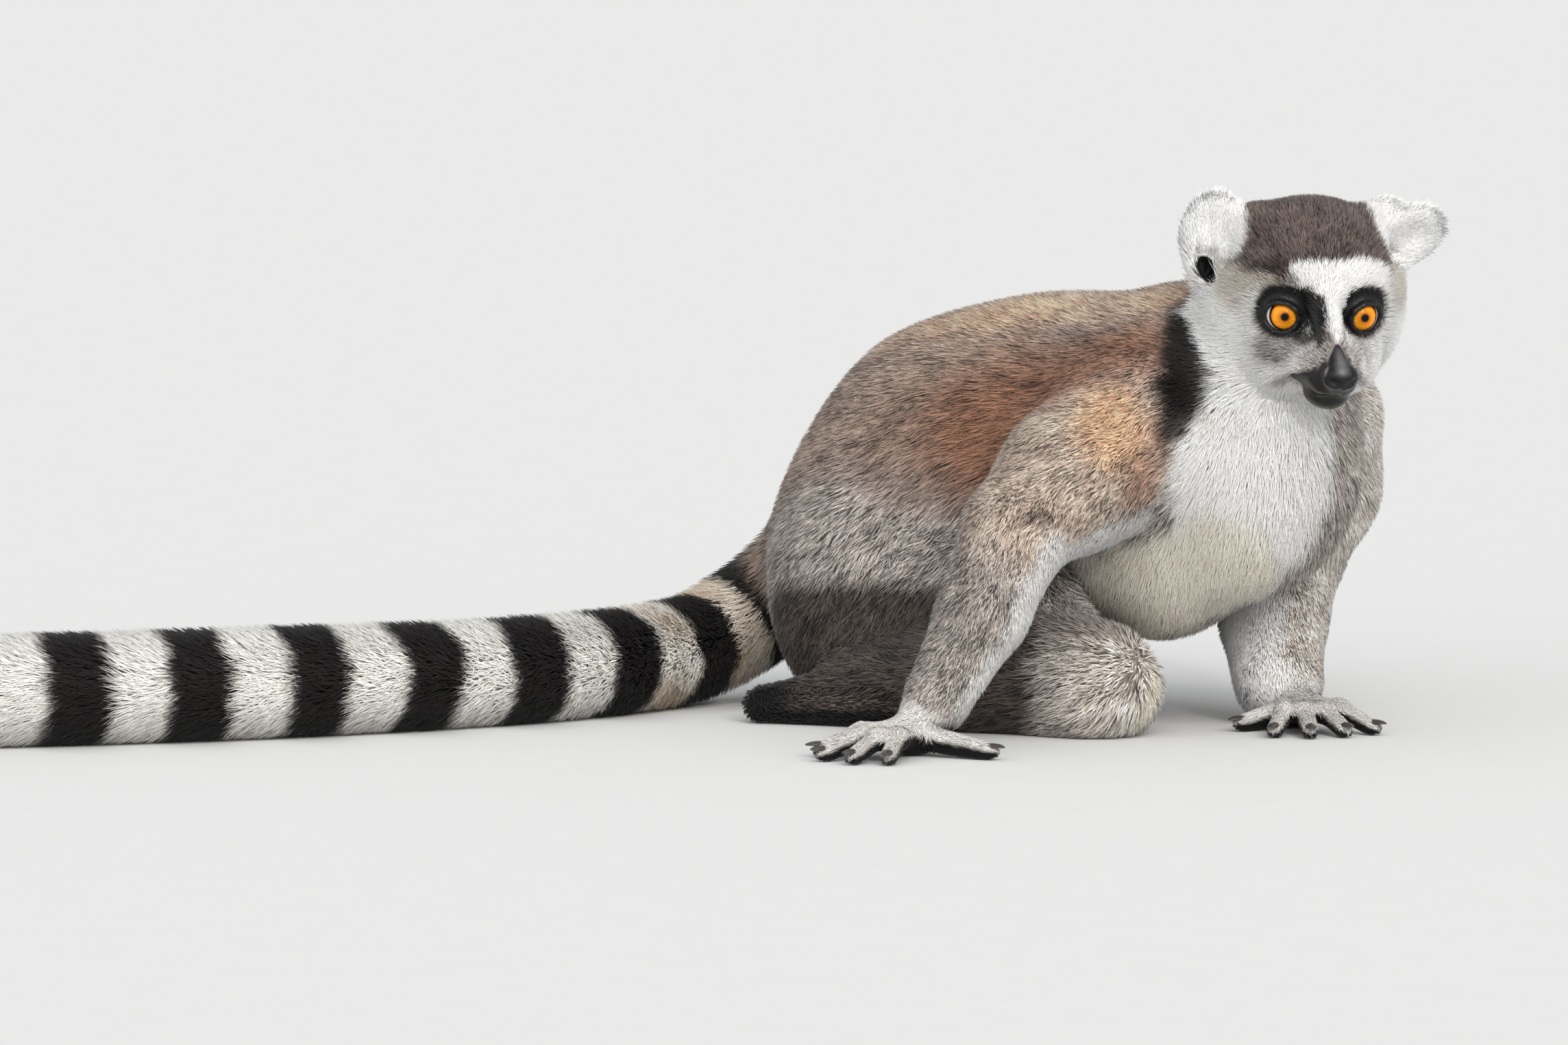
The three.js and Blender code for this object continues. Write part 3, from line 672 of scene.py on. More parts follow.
@dataclass(frozen=True)
class Ear:
    """A furred ear as a round dish on the side of the crown, hollow in front."""

    side: int
    middle: tuple[float, ...]
    rise: tuple[float, ...]
    radii: tuple[float, ...]
    turn: float
    pit: float
    base: tuple[tuple[tuple[float, ...], tuple[float, ...]], ...] = ()
    hollow_ahead: float = 3.2  # the middle of the hollow, ahead of the dish's face
    hollow_radii: tuple[float, float, float] = (7.5, 0.66, 0.72)  # its depth, then shares of the dish
    pit_raised: float = 5.0  # the pit's middle over the foot of the dish

    def frame(self) -> tuple[Array, Array, Array]:
        """The ear's face, across and rise directions in the head's own axes.

        Returns:
            Three unit vectors.
        """
        rise = unit(vec(*self.rise))
        turn = math.radians(self.turn)
        face = vec(math.cos(turn), self.side * math.sin(turn), 0)
        face = unit(face - rise * float(face @ rise))
        return face, np.cross(rise, face), rise

    def lumps(self) -> list[Flesh]:
        """The dish, its hollow and the pit at the foot of the hollow.

        Returns:
            The lumps in the order in which they melt.
        """
        face, across, rise = self.frame()
        axes = (np.array([face, across, rise]) @ HEAD.axes).astype(np.float32)
        middle = vec(*self.middle)
        thick, wide, tall = self.radii
        hollow = middle + face * (thick + self.hollow_ahead) - rise * 1.0
        deep, wide_share, tall_share = self.hollow_radii
        pit = middle - rise * (tall - self.pit_raised) + face * 2
        source = HEAD.point(*(middle - rise * (tall + 2) + face * 2))
        return [
            *(Lump(Region.EARS, HEAD.point(*place), vec(*size), HEAD.axes, 5, EAR_FUR, source, True)
              for place, size in self.base),
            Lump(Region.EARS, HEAD.point(*middle), vec(thick, wide, tall), axes, 5, EAR_FUR, source, True),
            Lump(Region.EARS, HEAD.point(*hollow), vec(deep, wide * wide_share, tall * tall_share), axes, 4.5,
                 DISH_FUR, source, True, True),
            Lump(Region.EARS, HEAD.point(*(pit + face * 1)), vec(7, 0.62 * self.pit, self.pit),
                 (np.array([face, across * 0.8 + rise * 0.6, rise * 0.8 - across * 0.6]) @ HEAD.axes)
                 .astype(np.float32), 1.5, BARE, source, True, True),
        ]


EARS = (Ear(-1, (-30, -39.4, 21.1), (-0.1, 0.15, 1.0), (7.5, 15, 18.5), 22, 5.4,
            (((-32, -39, 6), (9, 10.5, 12)),)),
        Ear(1, (-30, 39.1, 22.3), (-0.1, 0.9, 0.42), (7.5, 14, 17), 30, 3.0,
            (((-29, 28, 27), (8, 13, 12.5)), ((-30, 34, 16), (8, 9, 10)))))


@dataclass(frozen=True)
class Tail:
    """The tail along the floor, a smooth line with its radius at each point, and its rings."""

    line: tuple[tuple[float, ...], ...] = (
        (-104, 104, 60), (-136, 108, 38), (-160, 90, 25), (-185, 60, 21.5), (-215, 28, 21), (-255, -2, 21),
        (-305, -30, 21.5), (-360, -54, 21.8), (-420, -72, 21.8), (-478, -86, 21.6), (-524, -110, 21.2),
        (-556, -148, 19.4), (-572, -190, 15), (-578, -222, 8),
    )
    radii: tuple[float, ...] = (28, 22, 21.5, 21.5, 21.8, 21.8, 22.3, 22.6, 22.6, 22.4, 22, 20.2, 15.8, 8)
    steps: int = 4
    first_ring: float = 61.0
    ring_spacing: float = 48.5
    white_share: float = 0.46
    ring_softness: float = 0.06
    grey_root: tuple[float, float] = (38.0, 22.0)  # where the rings begin, mm along the tail
    stained_to: float = 132.0
    black_tip: float = 40.0
    split: float = 300.0
    thin: float = 12.0  # radius below which the coat of the tip grows
    blends: tuple[float, float] = (14, 5)  # with the rump, and along the tail

    def curve(self) -> tuple[Array, Array]:
        """The line and its radii, evened out with more points.

        Returns:
            m by 3 places and m radii.
        """
        points = np.array(self.line, dtype=np.float64)
        ends = np.vstack([2 * points[0] - points[1], points, 2 * points[-1] - points[-2]])
        out, radii = [], []
        for i in range(1, len(ends) - 2):
            p = ends[i - 1:i + 3]
            knots = np.concatenate([[0.0], np.cumsum(np.linalg.norm(np.diff(p, axis=0), axis=1) ** 0.5)])
            for step in range(self.steps):
                t = knots[1] + (knots[2] - knots[1]) * step / self.steps
                a = [((knots[j + 1] - t) * p[j] + (t - knots[j]) * p[j + 1]) / (knots[j + 1] - knots[j])
                     for j in range(3)]
                b = [((knots[j + 2] - t) * a[j] + (t - knots[j]) * a[j + 1]) / (knots[j + 2] - knots[j])
                     for j in range(2)]
                out.append(((knots[2] - t) * b[0] + (t - knots[1]) * b[1]) / (knots[2] - knots[1]))
                radii.append(self.radii[i - 1] + (self.radii[i] - self.radii[i - 1]) * step / self.steps)
        out.append(points[-1])
        radii.append(self.radii[-1])
        return np.array(out, dtype=np.float32), np.array(radii, dtype=np.float32)

    def lumps(self) -> list[Flesh]:
        """The tail as many short bones, near half and far half apart.

        Returns:
            The lumps in the order in which they melt.
        """
        line, radii = self.curve()
        along = self.lengths(line)
        out: list[Flesh] = []
        for i in range(len(line) - 1):
            region = Region.TAIL if along[i] < self.split else Region.TAIL_END
            fur = TAIL_FUR if radii[i] > self.thin else TAIL_TIP_FUR
            blend = self.blends[0 if i == 0 else 1]
            out.append(Bone(region, line[i], line[i + 1], float(radii[i]), float(radii[i + 1]), blend, fur))
        return out

    @staticmethod
    def lengths(line: Array) -> Array:
        """Length along a line at each of its points."""
        return np.concatenate([[0.0], np.cumsum(np.linalg.norm(np.diff(line, axis=0), axis=1))])

    def place(self, points: Array) -> Array:
        """Length along the tail of the point of it nearest to each point.

        Args:
            points: n by 3 places in the figure's frame.

        Returns:
            n lengths, in mm.
        """
        line, _ = self.curve()
        along = self.lengths(line)
        best = np.full(len(points), 1e9)
        out = np.zeros(len(points))
        for i in range(len(line) - 1):
            axis = line[i + 1] - line[i]
            t = np.clip((points - line[i]) @ axis / float(axis @ axis), 0, 1)
            d = np.linalg.norm(points - line[i] - t[:, None] * axis, axis=1)
            near = d < best
            best[near] = d[near]
            out[near] = (along[i] + t * (along[i + 1] - along[i]))[near]
        return out


TAIL = Tail()


def whole_body() -> Body:
    """Every lump of the figure in the order in which they melt.

    Returns:
        The body's fields.
    """
    return Body([
        *Trunk().lumps(), *TAIL.lumps(), *RIGHT_ARM.lumps(), *LEFT_ARM.lumps(), *RIGHT_HAND.lumps(),
        *LEFT_HAND.lumps(), *Legs().lumps(), *HEAD.lumps(), *EARS[0].lumps(), *EARS[1].lumps(),
    ])


# ---------------------------------------------------------------- markings
@dataclass(frozen=True)
class Tint:
    """A colour of the coat and how much single tufts differ from it."""

    colour: Array
    grain: float

    def row(self) -> Array:
        """Colour and grain as four numbers."""
        return np.append(self.colour, self.grain).astype(np.float32)


class Palette:
    """The colours of the coat, each with its salt-and-pepper grain."""

    GREY = Tint(linear(184, 175, 168), 0.95)
    DARK_GREY = Tint(linear(126, 116, 109), 0.95)
    # grey fur made paler with painted light
    LIT_GREY = Tint(linear(232, 218, 206), 0.75)
    SHOULDER = Tint(linear(205, 184, 168), 0.80)
    # sandy brown made paler with painted light
    LIT_SANDY = Tint(linear(255, 208, 174), 0.55)
    GREY_BROWN = Tint(linear(178, 155, 140), 0.90)
    # brown fur darkened with painted shade
    SHADED_UMBER = Tint(linear(150, 108, 85), 0.80)
    RUST = Tint(linear(240, 190, 152), 0.60)
    # dark grey fur made darker still with painted shade
    DARK_FUR_IN_SHADE = Tint(linear(74, 65, 60), 1.00)
    # near black: dark neck fur with the head's shadow painted on it
    DARK_NECK_IN_SHADOW = Tint(linear(20, 17, 16), 0.50)
    WHITE = Tint(linear(254, 252, 249), 0.06)
    CREAM = Tint(linear(250, 240, 222), 0.14)
    SHADED = Tint(linear(206, 196, 182), 0.20)
    CROWN = Tint(linear(104, 92, 87), 1.00)
    CAP_EDGE = Tint(linear(78, 66, 62), 0.70)
    EYE_PATCH = Tint(linear(22, 20, 20), 0.30)
    MOTTLED = Tint(linear(140, 134, 132), 0.70)
    BLACK = Tint(linear(12, 11, 11), 0.20)
    LEATHER = Tint(linear(14, 13, 13), 0.06)
    SHEEN = Tint(linear(112, 112, 114), 0.05)
    MOUTH = Tint(linear(70, 48, 38), 0.25)
    RING_BLACK = Tint(linear(26, 23, 22), 0.30)
    RING_WHITE = Tint(linear(250, 247, 240), 0.07)
    STAINED = Tint(linear(212, 184, 150), 0.16)
    HAND = Tint(linear(238, 234, 228), 0.24)
    DIGIT = Tint(linear(214, 209, 204), 0.35)
    # grey fur made paler with painted light
    LIT_ARM_GREY = Tint(linear(240, 226, 214), 0.60)
    # grey-beige strands darkened with painted shade
    STRANDS_IN_SHADE = Tint(linear(176, 164, 148), 0.55)
    # painted shade in the ear's pit
    EAR_PIT_SHADE = Tint(linear(16, 14, 14), 0.30)
    # grey hairs and painted shade in the ear's dish
    EAR_GREY_AND_SHADE = Tint(linear(172, 170, 168), 0.30)


def names_of(*regions: Region) -> list[str]:
    """The names that regions are stored by."""
    return [region.value for region in regions]


def mixed(first: Array, second: Array, share: Array) -> Array:
    """Rows of the first where the share is 0, of the second where it is 1."""
    t = share[:, None]
    return first * (1.0 - t) + second * t


@dataclass(frozen=True)
class Patch:
    """A tint laid over a volume of the figure, soft at its edge, in all regions or some, on all faces or some."""

    tint: Tint
    volume: Flesh
    softness: float
    strength: float = 1.0
    regions: tuple[Region, ...] = ()
    facing: Array | None = None
    facing_range: tuple[float, float] = (0.0, 0.5)

    def cover(self, points: Array, normals: Array, regions: Array) -> Array:
        """How far the patch covers each point, 0 to 1.

        Args:
            points: n by 3 places in the figure's frame.
            normals: the way the skin faces there.
            regions: the name of the Region of each place.

        Returns:
            n numbers.
        """
        out = smooth(self.softness, -self.softness, self.volume.distance(points)) * self.strength
        if self.facing is not None:
            out = out * smooth(*self.facing_range, normals @ unit(self.facing))
        if self.regions:
            out = out * np.isin(regions, names_of(*self.regions))
        return out


def ball(centre: Sequence[float], radii: Sequence[float], axes: Array | None = None) -> Lump:
    """A volume for a patch, not flesh."""
    turned = np.eye(3, dtype=np.float32) if axes is None else axes
    return Lump(Region.BACK, vec(*centre), vec(*radii), turned, 1.0, BARE, vec(0, 0, -1))


def rod(start: Sequence[float], end: Sequence[float], start_radius: float, end_radius: float) -> Bone:
    """A tapered volume for a patch, not flesh."""
    return Bone(Region.BACK, vec(*start), vec(*end), start_radius, end_radius, 1.0, BARE)


class Markings:
    """The colours of skin and coat alike, from the shape of the body alone."""

    STRAY = ((9.0, 2.2), (3.5, 0.9))  # scale and reach of the waves in the edges of the patches
    HEAD_STRAY = 0.3  # how much of it the head has
    NAPE = (-33.0, -39.0)  # where the head's patches give way to the body's, forward in the head's axes
    PIT_CLEAR = 0.3  # nothing grows nearer to the ear's pit than this
    # the dark round the pit is painted shade
    PIT_EDGE = (1.2, 0.4)  # where the fur round the pit turns dark
    SHADED_DISH = 0.25  # how much of the grey the left ear's dish has
    HAND_REACH = 62.0  # how far a hand's points lie from its palm
    DIGITS = (14, 30)  # where along the hand the fur turns into that of the digits
    FINGER_SIDES = (16, 11)  # heights between which the skin turns bare

    def __init__(self) -> None:
        """Lays out the patches, each over the ones before it."""
        self.noise = Noise(SEED + 1)
        self.body = self._body_patches()
        self.head = self._head_patches()

    @staticmethod
    def _body_patches() -> list[Patch]:
        """Back, shoulder, haunch, knee, white underside, far arm and dark neck, with painted light and painted shade
        laid in.

        Returns:
            The patches, each over the ones before it.
        """
        p = Palette
        trunk = (Region.RUMP, Region.BACK, Region.CHEST, Region.NECK, Region.CHEEKS, Region.CROWN)
        arm, far_arm, leg = (Region.ARM_RIGHT,), (Region.ARM_LEFT,), (Region.LEG_RIGHT, Region.LEG_LEFT)
        upper = (*trunk, *arm)
        # painted shade along three creases at the near elbow
        crease_shade = [Patch(p.DARK_FUR_IN_SHADE, rod((-35 + k, -79, 106 - 7 * k), (-20 - 2 * k, -75, 110 - 8.5 * k), 1.0, 1.4),
                         1.6, 0.95, arm) for k in range(3)]
        return [
            Patch(p.GREY_BROWN, rod((-112, 80, 124), (-50, 30, 146), 42, 40), 16, 0.9),
            Patch(p.GREY_BROWN, rod((-60, 96, 116), (44, 34, 150), 48, 40), 16, 0.75),
            Patch(p.SHOULDER, rod((4, -42, 140), (-34, -66, 84), 38, 24), 10, 0.95, arm),
            # brown fur darkened with painted shade on the flank behind the shoulder
            Patch(p.SHADED_UMBER, rod((-76, 14, 108), (-24, -18, 140), 24, 22), 20, 0.45, trunk),
            Patch(p.SHADED_UMBER, rod((-46, -4, 118), (16, -26, 156), 27, 18), 17, 0.92, upper),
            # sandy brown along the ridge of the back, paler there as painted light from above
            Patch(p.LIT_SANDY, rod((-84, 54, 168), (24, -6, 184), 17, 17), 10, 1.0),
            Patch(p.RUST, ball((4, -57, 126), (14, 20, 17)), 9, 0.9, upper),
            # brown with painted shade along the front of the dark neck band
            Patch(p.SHADED_UMBER, rod((27, -56, 134), (20, -60, 98), 8, 12), 6, 0.85, upper),
            *crease_shade,
            Patch(p.GREY_BROWN, ball((-138, 104, 66), (26, 34, 36)), 10, 0.8),
            # the lower haunch and shank darker with painted shade over their dark grey fur
            Patch(p.DARK_FUR_IN_SHADE, rod((-116, 22, 16), (-52, -22, 22), 42, 36), 6, 0.95, leg),
            # painted shadow of the chest on top of the knee
            Patch(p.DARK_GREY, ball((-6, -46, 48), (26, 20, 11)), 6, 0.8, leg),
            # the front of the knee paler as painted light where it faces the light
            Patch(p.LIT_GREY, ball((8, -52, 20), (20, 24, 20)), 7, 0.75, leg),
            # painted shade down the near forearm
            Patch(p.DARK_GREY, rod((-48, -86, 60), (-60, -96, 34), 12, 12), 8, 0.45, arm),
            Patch(p.CREAM, rod((19, -50, 8), (25, -44, 30), 7, 6), 4, 0.95, leg, vec(0.75, -0.65, -0.1), (0.2, 0.7)),
            Patch(p.WHITE, rod((62, -52, 152), (60, -52, 96), 30, 33), 5, 1.0, upper),
            Patch(p.WHITE, rod((60, -52, 96), (42, -34, 66), 33, 27), 6, 1.0, trunk),
            Patch(p.CREAM, rod((46, -36, 66), (12, -16, 52), 26, 24), 8, 0.9, trunk),
            # grey-beige strands under the chin, darkened with painted shade
            Patch(p.STRANDS_IN_SHADE, rod((34, -54, 134), (70, -62, 124), 9, 7), 8, 0.8, trunk),
            Patch(p.WHITE, rod((14, -34, 84), (-36, -68, 66), 15, 12), 6, 0.95, upper, vec(0.7, 0.1, -0.7),
                  (0.3, 0.75)),
            Patch(p.WHITE, rod((-30, -72, 70), (-58, -98, 24), 19, 14), 5, 0.95, arm, vec(1.0, 0.1, -0.05),
                  (0.4, 0.8)),
            # the far arm's grey fur painted paler, as painted light against the shade it lies in
            Patch(p.LIT_ARM_GREY, rod((88, 30, 134), (74, 10, 14), 60, 40), 8, 0.9, far_arm),
            Patch(p.WHITE, rod((74, 44, 74), (72, 10, 16), 28, 22), 6, 0.95, far_arm, vec(-0.85, -0.45, 0.0),
                  (0.0, 0.45)),
            # the head's shadow painted black over the dark neck fur behind the near cheek and down the side of the
            # chest
            Patch(p.DARK_NECK_IN_SHADOW, rod((40, -26, 166), (33, -46, 140), 16, 11), 4, 0.97),
            Patch(p.DARK_NECK_IN_SHADOW, rod((33, -46, 140), (23, -55, 108), 9, 4), 3.5, 0.9),
            Patch(p.DARK_GREY, rod((108, -26, 144), (109, -10, 124), 9, 6), 4, 0.7),
        ]

    @staticmethod
    def _head_patches() -> list[Patch]:
        """Cap, cheeks, brow, eye patches, stripe and black muzzle; places in the head's own axes.

        Returns:
            The patches, each over the ones before it.
        """
        p = Palette
        out: list[Patch] = []

        def spot(tint: Tint, centre: Sequence[float], radii: Sequence[float], softness: float,
                 strength: float = 1.0) -> None:
            """Adds an ellipsoid patch."""
            out.append(Patch(tint, ball(HEAD.point(*centre), radii, HEAD.axes), softness, strength))

        def band(tint: Tint, line: Sequence[Sequence[float]], radii: Sequence[float], softness: float,
                 strength: float = 1.0) -> None:
            """Adds patches along a line."""
            for a, b, ra, rb in zip(line, line[1:], radii, radii[1:]):
                out.append(Patch(tint, rod(HEAD.point(*a), HEAD.point(*b), ra, rb), softness, strength))

        spot(p.WHITE, (-22, 0, -14), (46, 52, 34), 6)
        spot(p.CROWN, (-30, 0, 56), (80, 90, 48.5), 3.0)
        band(p.CAP_EDGE, ((0, -20, 22), (2, 20, 23)), (4, 4), 4.0, 0.6)
        spot(p.CROWN, (-62, 0, 12), (20, 30, 34), 6)
        spot(p.WHITE, (-28, 41, 29), (30, 20, 18), 1.6)
        spot(p.WHITE, (-28, -46.5, 26), (30, 20, 17), 1.6)
        band(p.WHITE, ((5, 12, 18), (-8, 31, 13.5)), (4.5, 4.5), 1.5)
        band(p.SHADED, ((4, -16, 14.5), (-9, -31, 9.5)), (3.2, 4.0), 1.6, 0.75)
        for side, out_by, wide, strength in ((-1, 16, 11, 0.85), (1, 13, 8, 0.6)):
            spot(p.SHADED, (-13, side * 34, 6), (12, 8, 9), 4, 0.8)
            spot(p.MOTTLED, (6, side * out_by, -12), (12, wide, 7), 3, strength)
            band(p.MOTTLED, ((10, side * 10, -10), (24, side * 9.5, -9)), (5.5, 4), 2.5, 0.6)
        band(p.WHITE, ((5, -11, 17.3), (0, 22, 17.0)), (6.4, 6.2), 1.2)
        band(p.CAP_EDGE, ((1, -22, 19), (6, -14, 15)), (4.5, 3.5), 1.6, 0.85)
        for side, low, tall, lobe in ((-1, 1.9, 11.7, 1.0), (1, 2.4, 11.2, 0.72)):
            bend = (15, side * 6.6, 2.5)
            spot(p.EYE_PATCH, (3, side * 15.9, low), (12.5, 12.0, tall), 1.3)
            band(p.EYE_PATCH, ((8, side * 8.0, 6.5), bend), (7.5, 6.6 * lobe), 1.0, 0.97)
            band(p.EYE_PATCH, (bend, (24, side * 5.6, -1.8)), (6.6 * lobe, 3.8 * lobe), 1.1, 0.95)
            if side < 0:
                band(p.EYE_PATCH, ((9, -13, -3.5), (17, -9, -4)), (4.2, 3.4), 1.4, 0.9)
        band(p.WHITE, ((6, 2.4, 15), (9, 4.0, 10.5), (14, 2.5, 6.5), (22, 1.3, 3.2), (30, 0.6, 0.2)),
             (8.6, 5.2, 3.4, 2.5, 1.4), 0.9)
        band(p.BLACK, ((30.5, 0.6, 0.5), (38, 0.6, -6), (42, 0.8, -10)), (1.5, 5.6, 7.5), 0.7)
        spot(p.BLACK, (37, 0.8, -14.5), (10, 9.5, 9.0), 0.8)
        spot(p.BLACK, (27, 0.5, -25.5), (11.5, 10.5, 7.0), 1.0)
        for side in (-1, 1):
            band(p.BLACK, ((32, side * 6, -17.5), (20, side * 13, -20.6)), (6.2, 2.8), 1.0)
            band(p.BLACK, ((21, side * 12.2, -21.5), (27, side * 8.5, -25.5)), (4.0, 4.5), 1.0)
            band(p.MOUTH, ((19, side * 14, -21), (8, side * 18, -25)), (2.4, 1.2), 1.5, 0.6)
        band(p.SHEEN, ((34, 0.6, -2), (42, 0.2, -7.5)), (1.2, 2.4), 2.2, 0.75)
        return out

    def at(self, points: Array, normals: Array, regions: Array) -> Array:
        """Colour and grain at points of the skin.

        Args:
            points: n by 3 places.
            normals: the way the skin faces there.
            regions: the Region of each point, as objects.

        Returns:
            n by 4 numbers, linear colour and grain.
        """
        strayed = points
        for scale, reach in self.STRAY:
            strayed = strayed + self.noise.at(points, scale) * reach
        out = np.zeros((len(points), 4), dtype=np.float32)
        head = np.isin(regions, names_of(Region.CROWN, Region.CHEEKS, Region.FACE, Region.EARS))
        tail = np.isin(regions, names_of(Region.TAIL, Region.TAIL_END))
        hands, feet = regions == Region.HANDS.value, regions == Region.FEET.value
        body = ~(head | tail)
        out[body] = self._laid(self.body, Palette.GREY, strayed[body], normals[body], regions[body])
        calmer = points + (strayed - points) * self.HEAD_STRAY
        out[head] = self._head(calmer[head], normals[head], regions[head])
        out[tail] = self._tail(strayed[tail])
        out[hands] = self._hand(points[hands], normals[hands])
        out[feet] = self._foot(points[feet], normals[feet])
        return out

    def leather(self, points: Array, regions: Array) -> Array:
        """How far the bare black skin of nose and lips covers each point, 0 to 1.

        Args:
            points: n by 3 places in the figure's frame.
            regions: the name of the Region of each place.

        Returns:
            n numbers.
        """
        out = np.zeros(len(points))
        face = np.isin(regions, names_of(Region.FACE, Region.CHEEKS))
        for patch in self.head:
            if patch.tint is Palette.BLACK:
                out[face] = np.maximum(out[face], patch.cover(points[face], points[face], regions[face]))
        return out

    @staticmethod
    def pits(points: Array) -> Array:
        """Where a root lies in the open pit of the ear and grows nothing."""
        return EARS[0].lumps()[-1].distance(points) < Markings.PIT_CLEAR

    @staticmethod
    def _laid(patches: Sequence[Patch], base: Tint, points: Array, normals: Array, regions: Array) -> Array:
        """The base tint with every patch laid over it in turn, as rows of colour and grain.

        Args:
            patches: what is laid on, the last one on top.
            base: the tint under them all.
            points: n by 3 places in the figure's frame.
            normals: the way the skin faces there.
            regions: the name of the Region of each place.

        Returns:
            n by 4 numbers.
        """
        out = base.row()
        for patch in patches:
            out = mixed(out, patch.tint.row(), patch.cover(points, normals, regions))
        return out

    def _head(self, points: Array, normals: Array, regions: Array) -> Array:
        """The head's patches, then the ears: white, greyer in the dish with grey hairs and painted shade, black in the
        near ear's pit at its foot as painted shade.

        Args:
            points: n by 3 places in the figure's frame.
            normals: the way the skin faces there.
            regions: the name of the Region of each place.

        Returns:
            n by 4 numbers, colour and grain.
        """
        out = self._laid(self.head, Palette.GREY, points, normals, regions)
        local = HEAD.local(points)
        nape = smooth(*self.NAPE, local[:, 0]) * (regions != Region.EARS.value)
        out = mixed(out, self._laid(self.body, Palette.GREY_BROWN, points, normals, regions), nape)
        strands = self.noise.at(local * vec(0.5, 2.2, 0.6), 5.0)[:, 0]
        for ear in EARS:
            mine = (regions == Region.EARS.value) & (np.sign(local[:, 1]) == ear.side)
            hollow, pit = ear.lumps()[-2:]
            # grey hairs and painted shade in the hollow of the dish, less of it on the left ear
            dish = smooth(4.0, 0.0, hollow.distance(points[mine])) * smooth(-0.5, 0.4, strands[mine])
            if ear.side > 0:
                dish = dish * self.SHADED_DISH
            # painted shade: the near ear's pit dark
            dark = smooth(*self.PIT_EDGE, pit.distance(points[mine])) * (ear.side < 0)
            furred = mixed(Palette.WHITE.row(), Palette.EAR_GREY_AND_SHADE.row(), dish * 0.6)
            out[mine] = mixed(furred, Palette.EAR_PIT_SHADE.row(), dark)
        return out

    def _tail(self, points: Array) -> Array:
        """Rings of black and white along the tail, the first white ones stained.

        Args:
            points: n by 3 places in the figure's frame.

        Returns:
            n by 4 numbers, colour and grain.
        """
        along = TAIL.place(points)
        end = TAIL.lengths(TAIL.curve()[0])[-1] - TAIL.black_tip
        phase = (along - TAIL.first_ring) / TAIL.ring_spacing
        off = np.abs(phase - np.round(phase))
        half, soft = TAIL.white_share / 2, TAIL.ring_softness
        white = smooth(half + soft, half - soft, off) * smooth(end, end - 6, along)
        patchy = 0.5 + 0.5 * self.noise.at(points, 11)[:, 0]
        stain = smooth(TAIL.stained_to + 20, TAIL.stained_to - 30, along) * patchy
        rings = mixed(Palette.RING_BLACK.row(), mixed(Palette.RING_WHITE.row(), Palette.STAINED.row(), stain), white)
        return mixed(rings, Palette.GREY_BROWN.row(), smooth(*TAIL.grey_root, along))

    @classmethod
    def _hand(cls, points: Array, normals: Array) -> Array:
        """Pale fur on the back of the hand and the digits, bare black skin between and below them.

        Args:
            points: n by 3 places in the figure's frame.
            normals: the way the skin faces there.

        Returns:
            n by 4 numbers, colour and grain.
        """
        out = np.zeros((len(points), 4), dtype=np.float32)
        under = smooth(0.45, -0.1, normals[:, 2]) * smooth(*cls.FINGER_SIDES, points[:, 2])
        for hand in (RIGHT_HAND, LEFT_HAND):
            reach = np.linalg.norm(points - vec(*hand.palm), axis=1)
            mine = reach < cls.HAND_REACH
            top = mixed(Palette.HAND.row(), Palette.DIGIT.row(), smooth(*cls.DIGITS, reach) * 0.7)
            out[mine] = mixed(top, Palette.LEATHER.row(), under)[mine]
        return out

    @staticmethod
    def _foot(points: Array, normals: Array) -> Array:
        """Grey fur on top of the foot, darkened with painted shade, the sole and heel bare black.

        Args:
            points: n by 3 places in the figure's frame.
            normals: the way the skin faces there.

        Returns:
            n by 4 numbers, colour and grain.
        """
        sole = smooth(0.15, -0.35, normals[:, 2])
        heel = smooth(-118, -132, points[:, 0]) * smooth(20, 14, points[:, 2])
        return mixed(Palette.DARK_FUR_IN_SHADE.row(), Palette.LEATHER.row(), np.maximum(sole, heel))


# ---------------------------------------------------------------- meshes
@dataclass(frozen=True)
class Block:
    """An upright box in the figure's frame."""

    low: tuple[float, ...]
    high: tuple[float, ...]

    def distance(self, points: Array) -> Array:
        """How far outside the box each point is, negative inside."""
        return np.maximum(vec(*self.low) - points, points - vec(*self.high)).max(axis=1)

    def shrunk(self, by: float) -> "Block":
        """The box drawn in on every side."""
        return Block(tuple(v + by for v in self.low), tuple(v - by for v in self.high))


